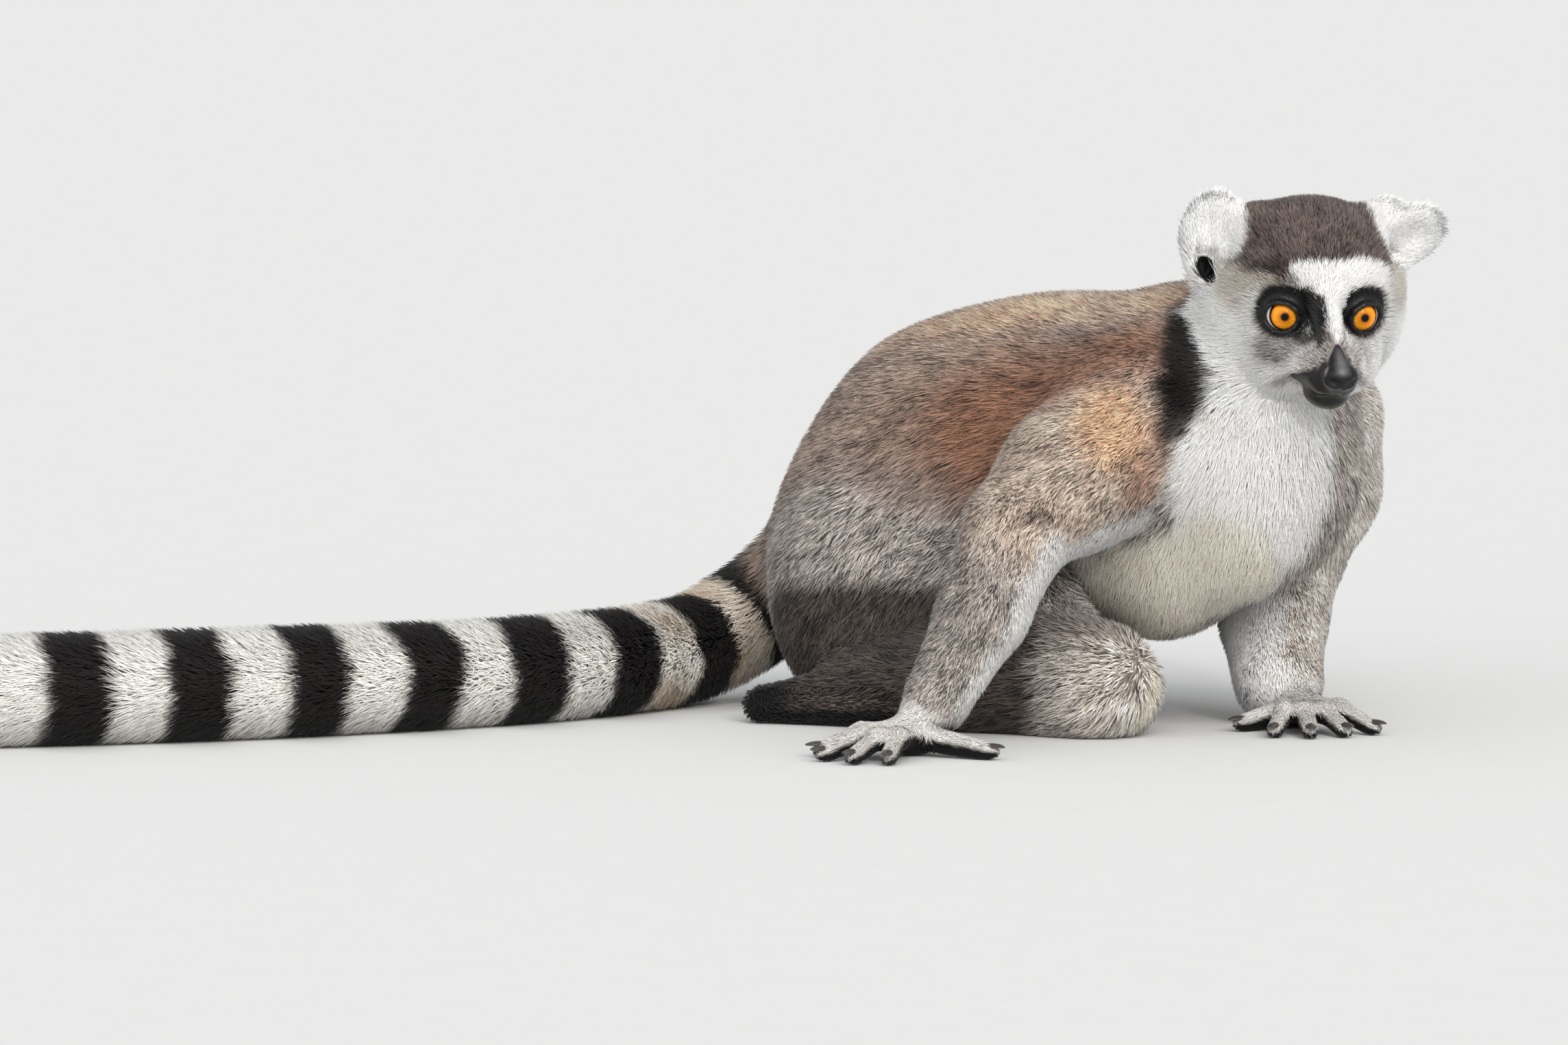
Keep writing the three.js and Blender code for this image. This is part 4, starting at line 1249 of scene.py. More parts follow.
class Moulder:
    """Meshes the zero surface of a field, looking only at blocks that it passes through."""

    SIDE = 8

    @staticmethod
    def _cells(counts: Iterable[int]) -> Array:
        """The index of every cell of a box, counted along its three sides."""
        return np.stack(np.meshgrid(*[np.arange(n) for n in counts], indexing="ij"), -1).reshape(-1, 3)

    @classmethod
    def surface(cls, distance: Field, box: Block, cell: float) -> tuple[Array, Array]:
        """The surface inside a box.

        Args:
            distance: the field, negative inside.
            box: where it is meshed; the surface is closed at its sides.
            cell: edge of the meshing cells.

        Returns:
            Vertices and triangles.
        """
        margin = 3 * cell
        low = vec(*box.low) - margin
        size = vec(*box.high) + margin - low
        side, band = cls.SIDE, 3 * cell

        def closed(points: Array) -> Array:
            """The field, closed at the sides of the box."""
            return np.maximum(distance(points), box.distance(points))

        blocks = cls._cells(np.ceil(size / (cell * side)).astype(int))
        middle = closed(((blocks + 0.5) * side * cell + low).astype(np.float32))
        near = np.abs(middle) < side * cell * 1.1 + band
        points = ((blocks[near][:, None, :] * side + cls._cells([side] * 3)) * cell + low).astype(np.float32)
        values = np.clip(closed(points.reshape(-1, 3)), -band, band).reshape(-1, side, side, side)
        grid = openvdb.FloatGrid(band)
        for block, value in zip(blocks[near], values.astype(np.float32)):
            grid.copyFromArray(value, ijk=tuple(int(v) * side for v in block), tolerance=0.0)
        full = np.full((side, side, side), -band, dtype=np.float32)
        for block in blocks[(middle < 0) & ~near]:
            grid.copyFromArray(full, ijk=tuple(int(v) * side for v in block), tolerance=0.0)
        vertices, triangles, quads = grid.convertToPolygons(0.0, 0.0)
        vertices = (vertices * cell + low).astype(np.float32)
        faces = np.vstack([triangles, quads[:, [0, 1, 2]], quads[:, [0, 2, 3]]]).astype(np.int64)
        corner = vertices[faces]
        volume = np.einsum("ij,ij->i", corner[:, 0], np.cross(corner[:, 1], corner[:, 2])).sum()
        return vertices, faces if volume > 0 else faces[:, ::-1]


def vertex_normals(vertices: Array, faces: Array) -> Array:
    """Normals at the vertices, weighed by the area of the faces round them.

    Args:
        vertices: m by 3 places.
        faces: triangles.

    Returns:
        m by 3 unit vectors.
    """
    corner = vertices[faces]
    normal = np.cross(corner[:, 1] - corner[:, 0], corner[:, 2] - corner[:, 0])
    out = np.zeros((len(vertices), 3))
    for k in range(3):
        for axis in range(3):
            out[:, axis] += np.bincount(faces[:, k], weights=normal[:, axis], minlength=len(vertices))
    return unit(out).astype(np.float32)


def shared_frame() -> Array:
    """How far the figure's own frame lies from the shared one, from the place of the right eye.

    Returns:
        The offset in mm.
    """
    low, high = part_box("eye_right")
    middle = (np.array(low) + np.array(high)) / 2 / MM
    return (middle - HEAD.eye_centre(-1)).astype(np.float32)


def placed(name: str, data: bpy.types.ID) -> bpy.types.Object:
    """A new object of the scene.

    Args:
        name: its name.
        data: its mesh, lamp or lens.

    Returns:
        The object.
    """
    out = bpy.data.objects.new(name, data)
    bpy.context.scene.collection.objects.link(out)
    return out


def make_piece(name: str, vertices: Array, faces: Array, material: bpy.types.Material) -> bpy.types.Object:
    """A smooth mesh object in the shared frame, riding on the one body.

    Args:
        name: the piece's name.
        vertices: n by 3 places in the figure's frame.
        faces: triangles.
        material: its finish.

    Returns:
        The object.
    """
    mesh = bpy.data.meshes.new(name)
    mesh.vertices.add(len(vertices))
    mesh.vertices.foreach_set("co", ((vertices + SHIFT) * MM).astype(np.float32).ravel())
    mesh.loops.add(faces.size)
    mesh.loops.foreach_set("vertex_index", faces.astype(np.int32).ravel())
    mesh.polygons.add(len(faces))
    mesh.polygons.foreach_set("loop_start", np.arange(0, faces.size, 3, dtype=np.int32))
    mesh.polygons.foreach_set("loop_total", np.full(len(faces), 3, dtype=np.int32))
    mesh.update(calc_edges=True)
    mesh.shade_smooth()
    mesh.materials.append(material)
    piece = placed(name, mesh)
    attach(piece, "root")
    LOG.info("%s: %d triangles", name, len(faces))
    return piece


def set_values(piece: bpy.types.Object, name: str, kind: str, values: Array) -> None:
    """Stores one value or colour for each vertex of a piece.

    Args:
        piece: the piece.
        name: what a material reads them by.
        kind: what sort of value it is.
        values: one row a vertex.
    """
    attribute = piece.data.attributes.new(name, kind, "POINT")
    key = {"FLOAT": "value", "FLOAT_COLOR": "color", "FLOAT_VECTOR": "vector"}[kind]
    attribute.data.foreach_set(key, np.ascontiguousarray(values, dtype=np.float32).ravel())


def ring_strips(rings: int, sectors: int) -> Array:
    """Triangles between rings of vertices, each ring closed.

    Args:
        rings: how many rings.
        sectors: vertices in each.

    Returns:
        Triangles.
    """
    k = np.arange(sectors)
    after = (k + 1) % sectors
    strip = np.concatenate([np.stack([k, k + sectors, after + sectors], axis=1),
                            np.stack([k, after + sectors, after], axis=1)])
    return np.concatenate([strip + ring * sectors for ring in range(rings - 1)])


SHIFT = shared_frame()


# ---------------------------------------------------------------- finishes
class Nodes:
    """A material's nodes, added and linked one by one."""

    def __init__(self, name: str) -> None:
        """Makes a material with nothing but a principled shader.

        Args:
            name: the material's name.
        """
        self.material = bpy.data.materials.new(name)
        self.material.use_nodes = True
        self.tree = self.material.node_tree
        self.shader = self.tree.nodes["Principled BSDF"]

    def add(self, kind: str, **settings: object) -> bpy.types.Node:
        """A node of a kind with its settings.

        Args:
            kind: its type.
            **settings: properties to set on it.

        Returns:
            The node.
        """
        node = self.tree.nodes.new(kind)
        for key, value in settings.items():
            setattr(node, key, value)
        return node

    def link(self, source: bpy.types.NodeSocket, target: bpy.types.NodeSocket) -> None:
        """Joins an output to an input."""
        self.tree.links.new(source, target)

    def put(self, numbers: dict[str, float], node: bpy.types.Node | None = None) -> None:
        """Sets inputs of a node by name, of the shader if no node is given."""
        for key, number in numbers.items():
            (node or self.shader).inputs[key].default_value = number

    def attribute(self, name: str) -> bpy.types.Node:
        """A node that reads a value stored on the vertices."""
        return self.add("ShaderNodeAttribute", attribute_name=name)

    def noise(self, scale: float, detail: float = 3.0, roughness: float = 0.6) -> bpy.types.NodeSocket:
        """Noise in the object's own space, scale in waves a metre.

        Args:
            scale: waves a metre.
            detail: octaves.
            roughness: share of the fine ones.

        Returns:
            The noise, about 0.5.
        """
        place = self.add("ShaderNodeTexCoord")
        node = self.add("ShaderNodeTexNoise")
        self.put({"Scale": scale, "Detail": detail, "Roughness": roughness}, node)
        self.link(place.outputs["Object"], node.inputs["Vector"])
        return node.outputs["Fac"]

    def ranged(self, value: bpy.types.NodeSocket, low: float, high: float, start: float = 0.25,
               end: float = 0.75) -> bpy.types.NodeSocket:
        """A value stretched from start..end to low..high.

        Args:
            value: the socket to stretch.
            low: result at the start.
            high: result at the end.
            start: least value that counts.
            end: most value that counts.

        Returns:
            The stretched value.
        """
        node = self.add("ShaderNodeMapRange")
        self.link(value, node.inputs["Value"])
        self.put({"From Min": start, "From Max": end, "To Min": low, "To Max": high}, node)
        return node.outputs["Result"]

    def times(self, colour: bpy.types.NodeSocket, value: bpy.types.NodeSocket) -> bpy.types.NodeSocket:
        """A colour multiplied by a number.

        Args:
            colour: the colour's socket.
            value: the number's socket.

        Returns:
            The product.
        """
        node = self.add("ShaderNodeVectorMath", operation="SCALE")
        self.link(colour, node.inputs[0])
        self.link(value, node.inputs["Scale"])
        return node.outputs["Vector"]

    def bump(self, height: bpy.types.NodeSocket, depth: float, strength: float = 1.0) -> None:
        """Relief on the shader's normal, depth in metres.

        Args:
            height: the relief's socket.
            depth: its depth in metres.
            strength: how much of it shows.
        """
        node = self.add("ShaderNodeBump")
        self.put({"Distance": depth, "Strength": strength}, node)
        self.link(height, node.inputs["Height"])
        self.link(node.outputs["Normal"], self.shader.inputs["Normal"])


@dataclass(frozen=True)
class CoatFinish:
    """Fur: the stored colour of each tuft with fine strand streaks, dull, a soft sheen at the edge."""

    name: str
    roughness: tuple[float, float] = (0.66, 0.86)
    streak: tuple[float, float] = (0.84, 1.14)
    streak_scale: float = 900.0
    specular: float = 0.25
    sheen: float = 0.12
    sheen_roughness: float = 0.5

    def make(self) -> bpy.types.Material:
        """The material.

        Returns:
            The material.
        """
        nodes = Nodes(self.name)
        streaks = nodes.noise(self.streak_scale, 2.0)
        colour = nodes.times(nodes.attribute("coat_colour").outputs["Color"], nodes.ranged(streaks, *self.streak))
        nodes.link(colour, nodes.shader.inputs["Base Color"])
        nodes.link(nodes.ranged(streaks, *self.roughness), nodes.shader.inputs["Roughness"])
        nodes.put({"Specular IOR Level": self.specular, "Sheen Weight": self.sheen,
                   "Sheen Roughness": self.sheen_roughness})
        return nodes.material


@dataclass(frozen=True)
class HideFinish:
    """Skin: underfur where the coat grows, pebbled black leather on the nose, lips, palms and soles."""

    name: str = "hide"
    grain_scale: float = 1100.0
    grain: tuple[float, float] = (0.8, 1.16)
    underfur_roughness: float = 0.88
    leather_roughness: float = 0.31
    unevenness: tuple[float, float] = (0.85, 1.15)
    specular: float = 0.34
    pebble_scale: float = 1500.0
    pebble_depth: float = 0.00016
    pebble_strength: float = 0.35

    def make(self) -> bpy.types.Material:
        """The material.

        Returns:
            The material.
        """
        nodes = Nodes(self.name)
        fine = nodes.noise(self.grain_scale, 3.0)
        colour = nodes.times(nodes.attribute("coat_colour").outputs["Color"], nodes.ranged(fine, *self.grain))
        nodes.link(colour, nodes.shader.inputs["Base Color"])
        bare = nodes.attribute("bare").outputs["Fac"]
        rough = nodes.ranged(bare, self.underfur_roughness, self.leather_roughness, 0.0, 1.0)
        varied = nodes.add("ShaderNodeMath", operation="MULTIPLY")
        nodes.link(rough, varied.inputs[0])
        nodes.link(nodes.ranged(fine, *self.unevenness), varied.inputs[1])
        nodes.link(varied.outputs[0], nodes.shader.inputs["Roughness"])
        place = nodes.add("ShaderNodeTexCoord")
        pebbles = nodes.add("ShaderNodeTexVoronoi", feature="SMOOTH_F1")
        nodes.put({"Scale": self.pebble_scale}, pebbles)
        nodes.link(place.outputs["Object"], pebbles.inputs["Vector"])
        nodes.bump(pebbles.outputs["Distance"], self.pebble_depth, self.pebble_strength)
        nodes.put({"Specular IOR Level": self.specular})
        return nodes.material


@dataclass(frozen=True)
class EyeFinish:
    """The eyeball: amber iris with faint rays, black pupil, dark rim, a pale ring past the rim, wet clear coat."""

    name: str = "eye"
    pupil: float = 0.16  # where it ends, as a share of the stored reach
    pupil_edge: float = 0.02
    ray_scale: float = 7.0
    ray_depth: tuple[float, float] = (0.84, 1.12)
    roughness: tuple[float, float] = (0.3, 0.45)
    wet: float = 0.6
    wet_roughness: float = 0.03
    wet_ior: float = 1.38

    def make(self) -> bpy.types.Material:
        """The material.

        Returns:
            The material.
        """
        nodes = Nodes(self.name)
        reach = nodes.attribute("eye_reach").outputs["Fac"]
        ramp = nodes.add("ShaderNodeValToRGB")
        stops = (
            (0.0, (0, 0, 0)), (self.pupil - self.pupil_edge, (0, 0, 0)), (self.pupil + self.pupil_edge, (70, 34, 8)),
            (self.pupil + 0.10, (200, 112, 18)), (0.50, (240, 158, 34)), (0.66, (232, 140, 26)),
            (0.74, (150, 74, 12)), (0.775, (14, 8, 6)), (0.875, (12, 9, 8)), (0.90, (236, 234, 230)),
            (1.0, (244, 241, 236)),
        )
        while len(ramp.color_ramp.elements) < len(stops):
            ramp.color_ramp.elements.new(0.5)
        for element, (place, colour) in zip(ramp.color_ramp.elements, stops):
            element.position = place
            element.color = (*linear(*colour), 1.0)
        rays = nodes.add("ShaderNodeTexNoise")
        nodes.put({"Scale": self.ray_scale, "Detail": 4.0}, rays)
        nodes.link(nodes.attribute("eye_ray").outputs["Vector"], rays.inputs["Vector"])
        nodes.link(reach, ramp.inputs["Fac"])
        colour = nodes.times(ramp.outputs["Color"], nodes.ranged(rays.outputs["Fac"], *self.ray_depth, 0.3, 0.7))
        nodes.link(colour, nodes.shader.inputs["Base Color"])
        nodes.link(nodes.ranged(rays.outputs["Fac"], *self.roughness), nodes.shader.inputs["Roughness"])
        nodes.put({"Specular IOR Level": 0.0, "Coat Weight": self.wet, "Coat Roughness": self.wet_roughness,
                   "Coat IOR": self.wet_ior})
        return nodes.material


@dataclass(frozen=True)
class NailFinish:
    """Claws: dark horn, paler streaks along them, half gloss."""

    name: str = "horn"
    dark: tuple[int, ...] = (30, 27, 27)
    pale: tuple[int, ...] = (84, 76, 72)
    streak_scale: float = 700.0
    roughness: tuple[float, float] = (0.25, 0.45)

    def make(self) -> bpy.types.Material:
        """The material.

        Returns:
            The material.
        """
        nodes = Nodes(self.name)
        streaks = nodes.noise(self.streak_scale, 4.0)
        ramp = nodes.add("ShaderNodeValToRGB")
        for element, colour in zip(ramp.color_ramp.elements, (self.dark, self.pale)):
            element.color = (*linear(*colour), 1.0)
        nodes.link(streaks, ramp.inputs["Fac"])
        nodes.link(ramp.outputs["Color"], nodes.shader.inputs["Base Color"])
        nodes.link(nodes.ranged(streaks, *self.roughness), nodes.shader.inputs["Roughness"])
        return nodes.material


# ---------------------------------------------------------------- skin
@dataclass
class Patchwork:
    """Vertices and faces of the skin with what grows on them, and which faces may carry tufts."""

    vertices: Array
    faces: Array
    fertile: Array
    normals: Array = field(default_factory=lambda: np.zeros((0, 3)))
    furs: Array = field(default_factory=lambda: np.zeros((0, 5)))
    lie: Array = field(default_factory=lambda: np.zeros((0, 3)))
    regions: Array = field(default_factory=lambda: np.zeros(0))


@dataclass(frozen=True)
class Skin:
    """One skin over all the flesh, finer at the head, the hands and the feet, finest at the face."""

    body_box: Block = Block((-620, -255, -1), (150, 165, 245))
    body_cell: float = 2.4
    head_box: Block = Block((26, -118, 134), (160, 24, 244))
    head_cell: float = 1.25
    face_box: Block = Block((60, -100, 128), (130, -36, 192))
    face_cell: float = 0.6
    limb_boxes: tuple[Block, ...] = (
        Block((-126, -162, -1), (-36, -92, 30)), Block((48, -64, -1), (124, 2, 30)),
        Block((-160, -40, -1), (-38, 34, 22)),
    )
    limb_cell: float = 1.15
    overlap: float = 3.2
    surface_near: float = 0.35  # how far from the skin, in cells, a face may lie and still carry tufts
    underfur: tuple[float, float] = (0.3, 1.2)  # depths of coat between which the skin turns from bare to furred
    shadow: float = 0.5  # how much darker the skin is under its coat
    shadow_in_white: float = 0.34  # and how much of that a white coat takes back
    flesh_nodes: tuple[str, ...] = (
        "neck", "chest", "belly", "rump", "upper_arm_right", "forearm_right", "hand_right", "upper_arm_left",
        "forearm_left", "hand_left", "thigh_right", "shank_right", "foot_right", "thigh_left", "shank_left",
        "foot_left", "head", "muzzle", "nose", "lower_jaw", "ear_right", "ear_left", "tail_1", "tail_2", "tail_3",
        "tail_4", "tail_5", "tail_6", "tail_7",
    )

    def mould(self, body: Body) -> Patchwork:
        """Meshes the skin in boxes that overlap a little, each closed out of sight inside the flesh.

        Args:
            body: the fields of skin and tips.

        Returns:
            The skin with the coat that it carries.
        """
        parts = []

        def without(holes: Sequence[Block]) -> Field:
            """The skin's field with boxes left out, where a finer mesh takes over.

            Args:
                holes: the boxes.

            Returns:
                The field.
            """
            inner = [hole.shrunk(self.overlap) for hole in holes]

            def distance(points: Array) -> Array:
                """Distance to what is left of the skin.

                Args:
                    points: n by 3 places.

                Returns:
                    n distances.
                """
                d = body.skin(points)
                for hole in inner:
                    d = np.maximum(d, -hole.distance(points))
                return d
            return distance

        plan = (
            (self.body_box, self.body_cell, (self.head_box, *self.limb_boxes)),
            (self.head_box, self.head_cell, (self.face_box,)),
            (self.face_box, self.face_cell, ()),
            *((box, self.limb_cell, ()) for box in self.limb_boxes),
        )
        start = 0
        for box, cell, holes in plan:
            vertices, faces = Moulder.surface(without(holes), box, cell)
            middle = vertices[faces].mean(axis=1)
            fertile = (np.abs(body.skin(middle)) < self.surface_near * cell) & (middle[:, 2] > 1.0)
            fertile &= box.distance(middle) < 0
            for hole in holes:
                fertile &= hole.distance(middle) >= 0
            parts.append((vertices, faces + start, fertile))
            start += len(vertices)
            LOG.info("skin in cells of %.2f mm: %d vertices", cell, len(vertices))
        vertices, faces, fertile = (np.concatenate(column) for column in zip(*parts))
        work = Patchwork(vertices, faces, fertile)
        work.normals = vertex_normals(vertices, faces)
        names = np.array([lump.region.value for lump in body.solid])
        chunks = [body.growth(chunk) for chunk in np.array_split(vertices, STRETCHES["growth"])]
        work.furs = np.concatenate([c[0] for c in chunks])
        work.lie = np.concatenate([c[1] for c in chunks])
        work.regions = names[np.concatenate([c[2] for c in chunks])]
        return work

    def dress(self, work: Patchwork, markings: Markings) -> bpy.types.Object:
        """Makes the skin's piece with its colours and bareness.

        Args:
            work: the moulded skin.
            markings: the colours.

        Returns:
            The piece, standing for every node of flesh.
        """
        rows = markings.at(work.vertices, work.normals, work.regions)
        furred = smooth(*self.underfur, work.furs[:, 0]) * (1.0 - markings.leather(work.vertices, work.regions))
        bright = np.clip(rows[:, :3].mean(axis=1, keepdims=True), 0, 1)
        shade = 1.0 - (self.shadow - self.shadow_in_white * bright) * furred[:, None]
        piece = make_piece("skin", work.vertices, work.faces, HideFinish().make())
        colours = np.ones((len(rows), 4), dtype=np.float32)
        colours[:, :3] = rows[:, :3] * shade
        set_values(piece, "coat_colour", "FLOAT_COLOR", colours)
        set_values(piece, "bare", "FLOAT", 1.0 - furred)
        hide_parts(*self.flesh_nodes)
        return piece


# ---------------------------------------------------------------- coat
class Unwrap:
    """Lays the skin of one region flat round a bent line: length along it against the turn round it."""

    EDGE = 0.01

    def __init__(self, line: Array, up: Array) -> None:
        """Keeps the line and the direction from which turns are counted."""
        self.line = line.astype(np.float32)
        self.up = up

    def at(self, points: Array) -> Array:
        """Places on the flat map, 0 to 1 both ways.

        Args:
            points: n by 3 places in the figure's frame.

        Returns:
            n by 2 numbers.
        """
        along = Tail.lengths(self.line)
        best = np.full(len(points), 1e9)
        out = np.zeros((len(points), 2))
        for i in range(len(self.line) - 1):
            axis = self.line[i + 1] - self.line[i]
            length = float(axis @ axis)
            raw = (points - self.line[i]) @ axis / length
            low = -9.0 if i == 0 else 0.0
            high = 9.0 if i == len(self.line) - 2 else 1.0
            t = np.clip(raw, low, high)
            off = points - self.line[i] - np.clip(raw, 0, 1)[:, None] * axis
            d = np.linalg.norm(off, axis=1)
            ahead = unit(axis)
            side = unit(np.cross(ahead, self.up))
            over = np.cross(side, ahead)
            near = d < best
            best[near] = d[near]
            out[near, 0] = (np.arctan2(off @ side, off @ over) / (2 * math.pi) + 0.5)[near]
            out[near, 1] = (along[i] + t * math.sqrt(length))[near]
        low, high = out[:, 1].min(), out[:, 1].max()
        out[:, 1] = (out[:, 1] - low) / max(high - low, 1e-6)
        return self.EDGE + out * (1 - 2 * self.EDGE)


class PolarUnwrap(Unwrap):
    """Lays the skin of the head flat as a disc: the angle from an axis against the turn round it."""

    def __init__(self, centre: Array, axes: Array) -> None:
        """Keeps the middle and the axes, the first one at the middle of the disc."""
        self.centre = centre
        self.axes = axes

    def at(self, points: Array) -> Array:
        """Places on the flat map, 0 to 1 both ways.

        Args:
            points: n by 3 places in the figure's frame.

        Returns:
            n by 2 numbers.
        """
        q = unit((points - self.centre) @ self.axes.T)
        reach = np.arccos(np.clip(q[:, 0], -1, 1)) / math.pi * (0.5 - self.EDGE)
        turn = unit(q[:, 1:] + 1e-9)
        return 0.5 + turn * reach[:, None]


@dataclass(frozen=True)
class Coat:
    """The tufts over the skin: flat closed blades that lie along it, joined into one piece for each region."""

    root_sink: float = 0.5  # how deep a root sits under the skin
    thick: float = 0.16  # how far the middle stands off the line from root to tip
    arch: float = 0.05  # and how much farther for each mm that the tuft stands up
    middle: float = 0.42  # place of the widest point along the tuft
    locks: tuple[tuple[float, float], ...] = ((7.0, 0.9), (2.6, 0.5))  # scale and reach of the waves in the lie
    gather: float = 1.1  # how strongly the waves turn the tufts of a lock
    stray: float = 0.55  # how far single tufts turn out of it
    lengths: tuple[float, float] = (0.72, 1.12)  # shortest and longest tuft, as shares of the coat's own length
    heights: tuple[float, float] = (0.72, 1.0)  # lowest and highest, as shares of its depth
    widths: tuple[float, float] = (0.75, 1.2)
    steepest: float = 0.7  # height of a tuft against its length
    uneven: tuple[float, float] = (-0.22, 0.10)  # how far tips end under or over the coat's surface
    tilt: float = 0.5  # how far a blade is rolled about its length
    round: float = 0.3  # how far a blade is shaded as round
    floor: float = 0.4  # no tuft ends lower
    shown: float = 0.6  # the place along a tuft whose marking colours it
    blur: float = 0.6
    pepper: float = 1.05  # how strongly the grain works from tuft to tuft, in clouds and in ripples
    cloud: float = 0.35
    cloud_scale: float = 3.0
    ripple: float = 0.4
    ripple_scale: float = 5.0
    ripple_squash: tuple[float, float, float] = (0.45, 0.45, 1.3)
    tones: tuple[float, float] = (0.2, 1.9)
    root_shade: tuple[float, float] = (0.50, 0.38)  # brightness at the root of a black tuft, and what white adds
    tip_shade: tuple[float, float] = (1.16, 0.14)  # brightness at the tip of a black tuft, and what white takes
    lightest: float = 0.96
    least_reach: float = 0.3  # least depth of the coat over a root
    pull: tuple[float, float] = (0.6, 0.9)  # how far a tip is moved at most: out, of the depth; in, of its height
    most: int = 49900
    patch: float = 0.0015  # half the size of a tuft on the flat map
    front: tuple[float, float, float] = (0.2, -0.97, 0.1)  # the side the model is mostly seen from
    away: float = 0.38  # how much coarser the coat is on the other side
    # how much wider and fewer the tufts of a region are made where they are mostly out of sight
    coarseness: dict[Region, float] = field(default_factory=lambda: {
        Region.LEG_LEFT: 1.35, Region.ARM_LEFT: 1.2, Region.FEET: 1.3, Region.LEG_RIGHT: 1.05, Region.HANDS: 1.1,
    })
    slots: dict[Region, str] = field(default_factory=lambda: {
        Region.RUMP: "grey_fur", Region.BACK: "brown_fur", Region.CHEST: "white_fur", Region.NECK: "dark_fur",
        Region.ARM_RIGHT: "grey_fur", Region.ARM_LEFT: "grey_fur", Region.LEG_RIGHT: "grey_fur",
        Region.LEG_LEFT: "grey_fur", Region.HANDS: "hand_fur", Region.FEET: "hand_fur", Region.CROWN: "dark_fur",
        Region.CHEEKS: "face_fur", Region.FACE: "face_fur", Region.EARS: "white_fur", Region.TAIL: "ringed_fur",
        Region.TAIL_END: "ringed_fur",
    })

    @staticmethod
    def unwraps() -> dict[Region, Unwrap]:
        """The flat map of each region.

        Returns:
            One map for each Region.
        """
        up, ahead = vec(0, 0, 1), vec(0, -1, 0)
        spine = np.array([(-120, 110, 45), (-60, 66, 90), (0, 36, 112), (50, 8, 120), (80, -30, 118)])
        line, _ = TAIL.curve()
        head = PolarUnwrap(HEAD.point(-22, 0, 0), HEAD.axes)
        return {
            Region.RUMP: Unwrap(spine, up), Region.BACK: Unwrap(spine, up),
            Region.CHEST: Unwrap(np.array([(60, 0, 40), (60, 0, 100), (64, -8, 150)]), vec(0, 1, 0)),
            Region.NECK: Unwrap(np.array([(40, 10, 140), (84, -24, 166)]), up),
            Region.ARM_RIGHT: Unwrap(np.array([*RIGHT_ARM.upper, *RIGHT_ARM.fore[1:]]), ahead),
            Region.ARM_LEFT: Unwrap(np.array([*LEFT_ARM.upper, *LEFT_ARM.fore[1:]]), vec(1, 0, 0)),
            Region.LEG_RIGHT: Unwrap(np.array([(-110, 70, 60), (-40, 12, 46), (10, -40, 34)]), up),
            Region.LEG_LEFT: Unwrap(np.array([(-70, 110, 60), (0, 94, 66), (55, 78, 80)]), up),
            Region.HANDS: Unwrap(np.array([(-68, -100, 20), (-90, -130, 2), (78, 10, 20), (86, -40, 2)]), up),
            Region.FEET: Unwrap(np.array([(-140, 12, 10), (-48, -22, 5), (-60, 118, 9), (24, 78, 5)]), up),
            Region.TAIL: Unwrap(line, up), Region.TAIL_END: Unwrap(line, up),
            Region.CROWN: head, Region.CHEEKS: head, Region.FACE: head, Region.EARS: head,
        }

    def scatter(self, work: Patchwork, rng: np.random.Generator) -> tuple[Array, Array]:
        """Roots spread evenly over the skin, as many as its coat asks for.

        Args:
            work: the moulded skin.
            rng: the seeded draws.

        Returns:
            The face of each root, and its weights at that face's corners.
        """
        faces = work.faces[work.fertile]
        corner = work.vertices[faces]
        area = np.linalg.norm(np.cross(corner[:, 1] - corner[:, 0], corner[:, 2] - corner[:, 0]), axis=1) / 2
        wanted = area / 100.0 * work.furs[faces][:, :, 3].mean(axis=1) / self.coarse(
            work.regions[faces[:, 0]], work.normals[faces].mean(axis=1)) ** 2
        running = np.cumsum(wanted)
        count = int(running[-1])
        marks = (np.arange(count) + rng.random(count)) * running[-1] / count
        chosen = np.minimum(np.searchsorted(running, marks), len(faces) - 1)
        a, b = np.sqrt(rng.random(count)), rng.random(count)
        weights = np.stack([1 - a, a * (1 - b), a * b], axis=1).astype(np.float32)
        return faces[chosen], weights

    def coarse(self, regions: Array, normals: Array) -> Array:
        """How much wider the tufts are made at each place: by region, and on the side away from the front.

        Args:
            regions: the name of the Region of each place.
            normals: the way the skin faces there.

        Returns:
            n factors.
        """
        out = 1.0 + self.away * smooth(-0.05, -0.45, normals @ vec(*self.front))
        for region, factor in self.coarseness.items():
            out[regions == region.value] *= factor
        return out

    def grow(self, work: Patchwork, body: Body, markings: Markings) -> list[bpy.types.Object]:
        """Grows the whole coat.

        Args:
            work: the moulded skin.
            body: the fields of skin and tips.
            markings: the colours.

        Returns:
            One piece for each region.
        """
        rng = np.random.default_rng(SEED)
        noise = Noise(SEED + 7)
        faces, weights = self.scatter(work, rng)
        place = np.einsum("nk,nkc->nc", weights, work.vertices[faces])
        furry = (markings.leather(place, work.regions[faces[:, 0]]) < 0.5) & ~markings.pits(place)
        faces, weights = faces[furry], weights[furry]

        def spread(stored: Array) -> Array:
            """Values of the skin's vertices at the roots."""
            return np.einsum("nk,nkc->nc", weights, stored[faces].astype(np.float32))

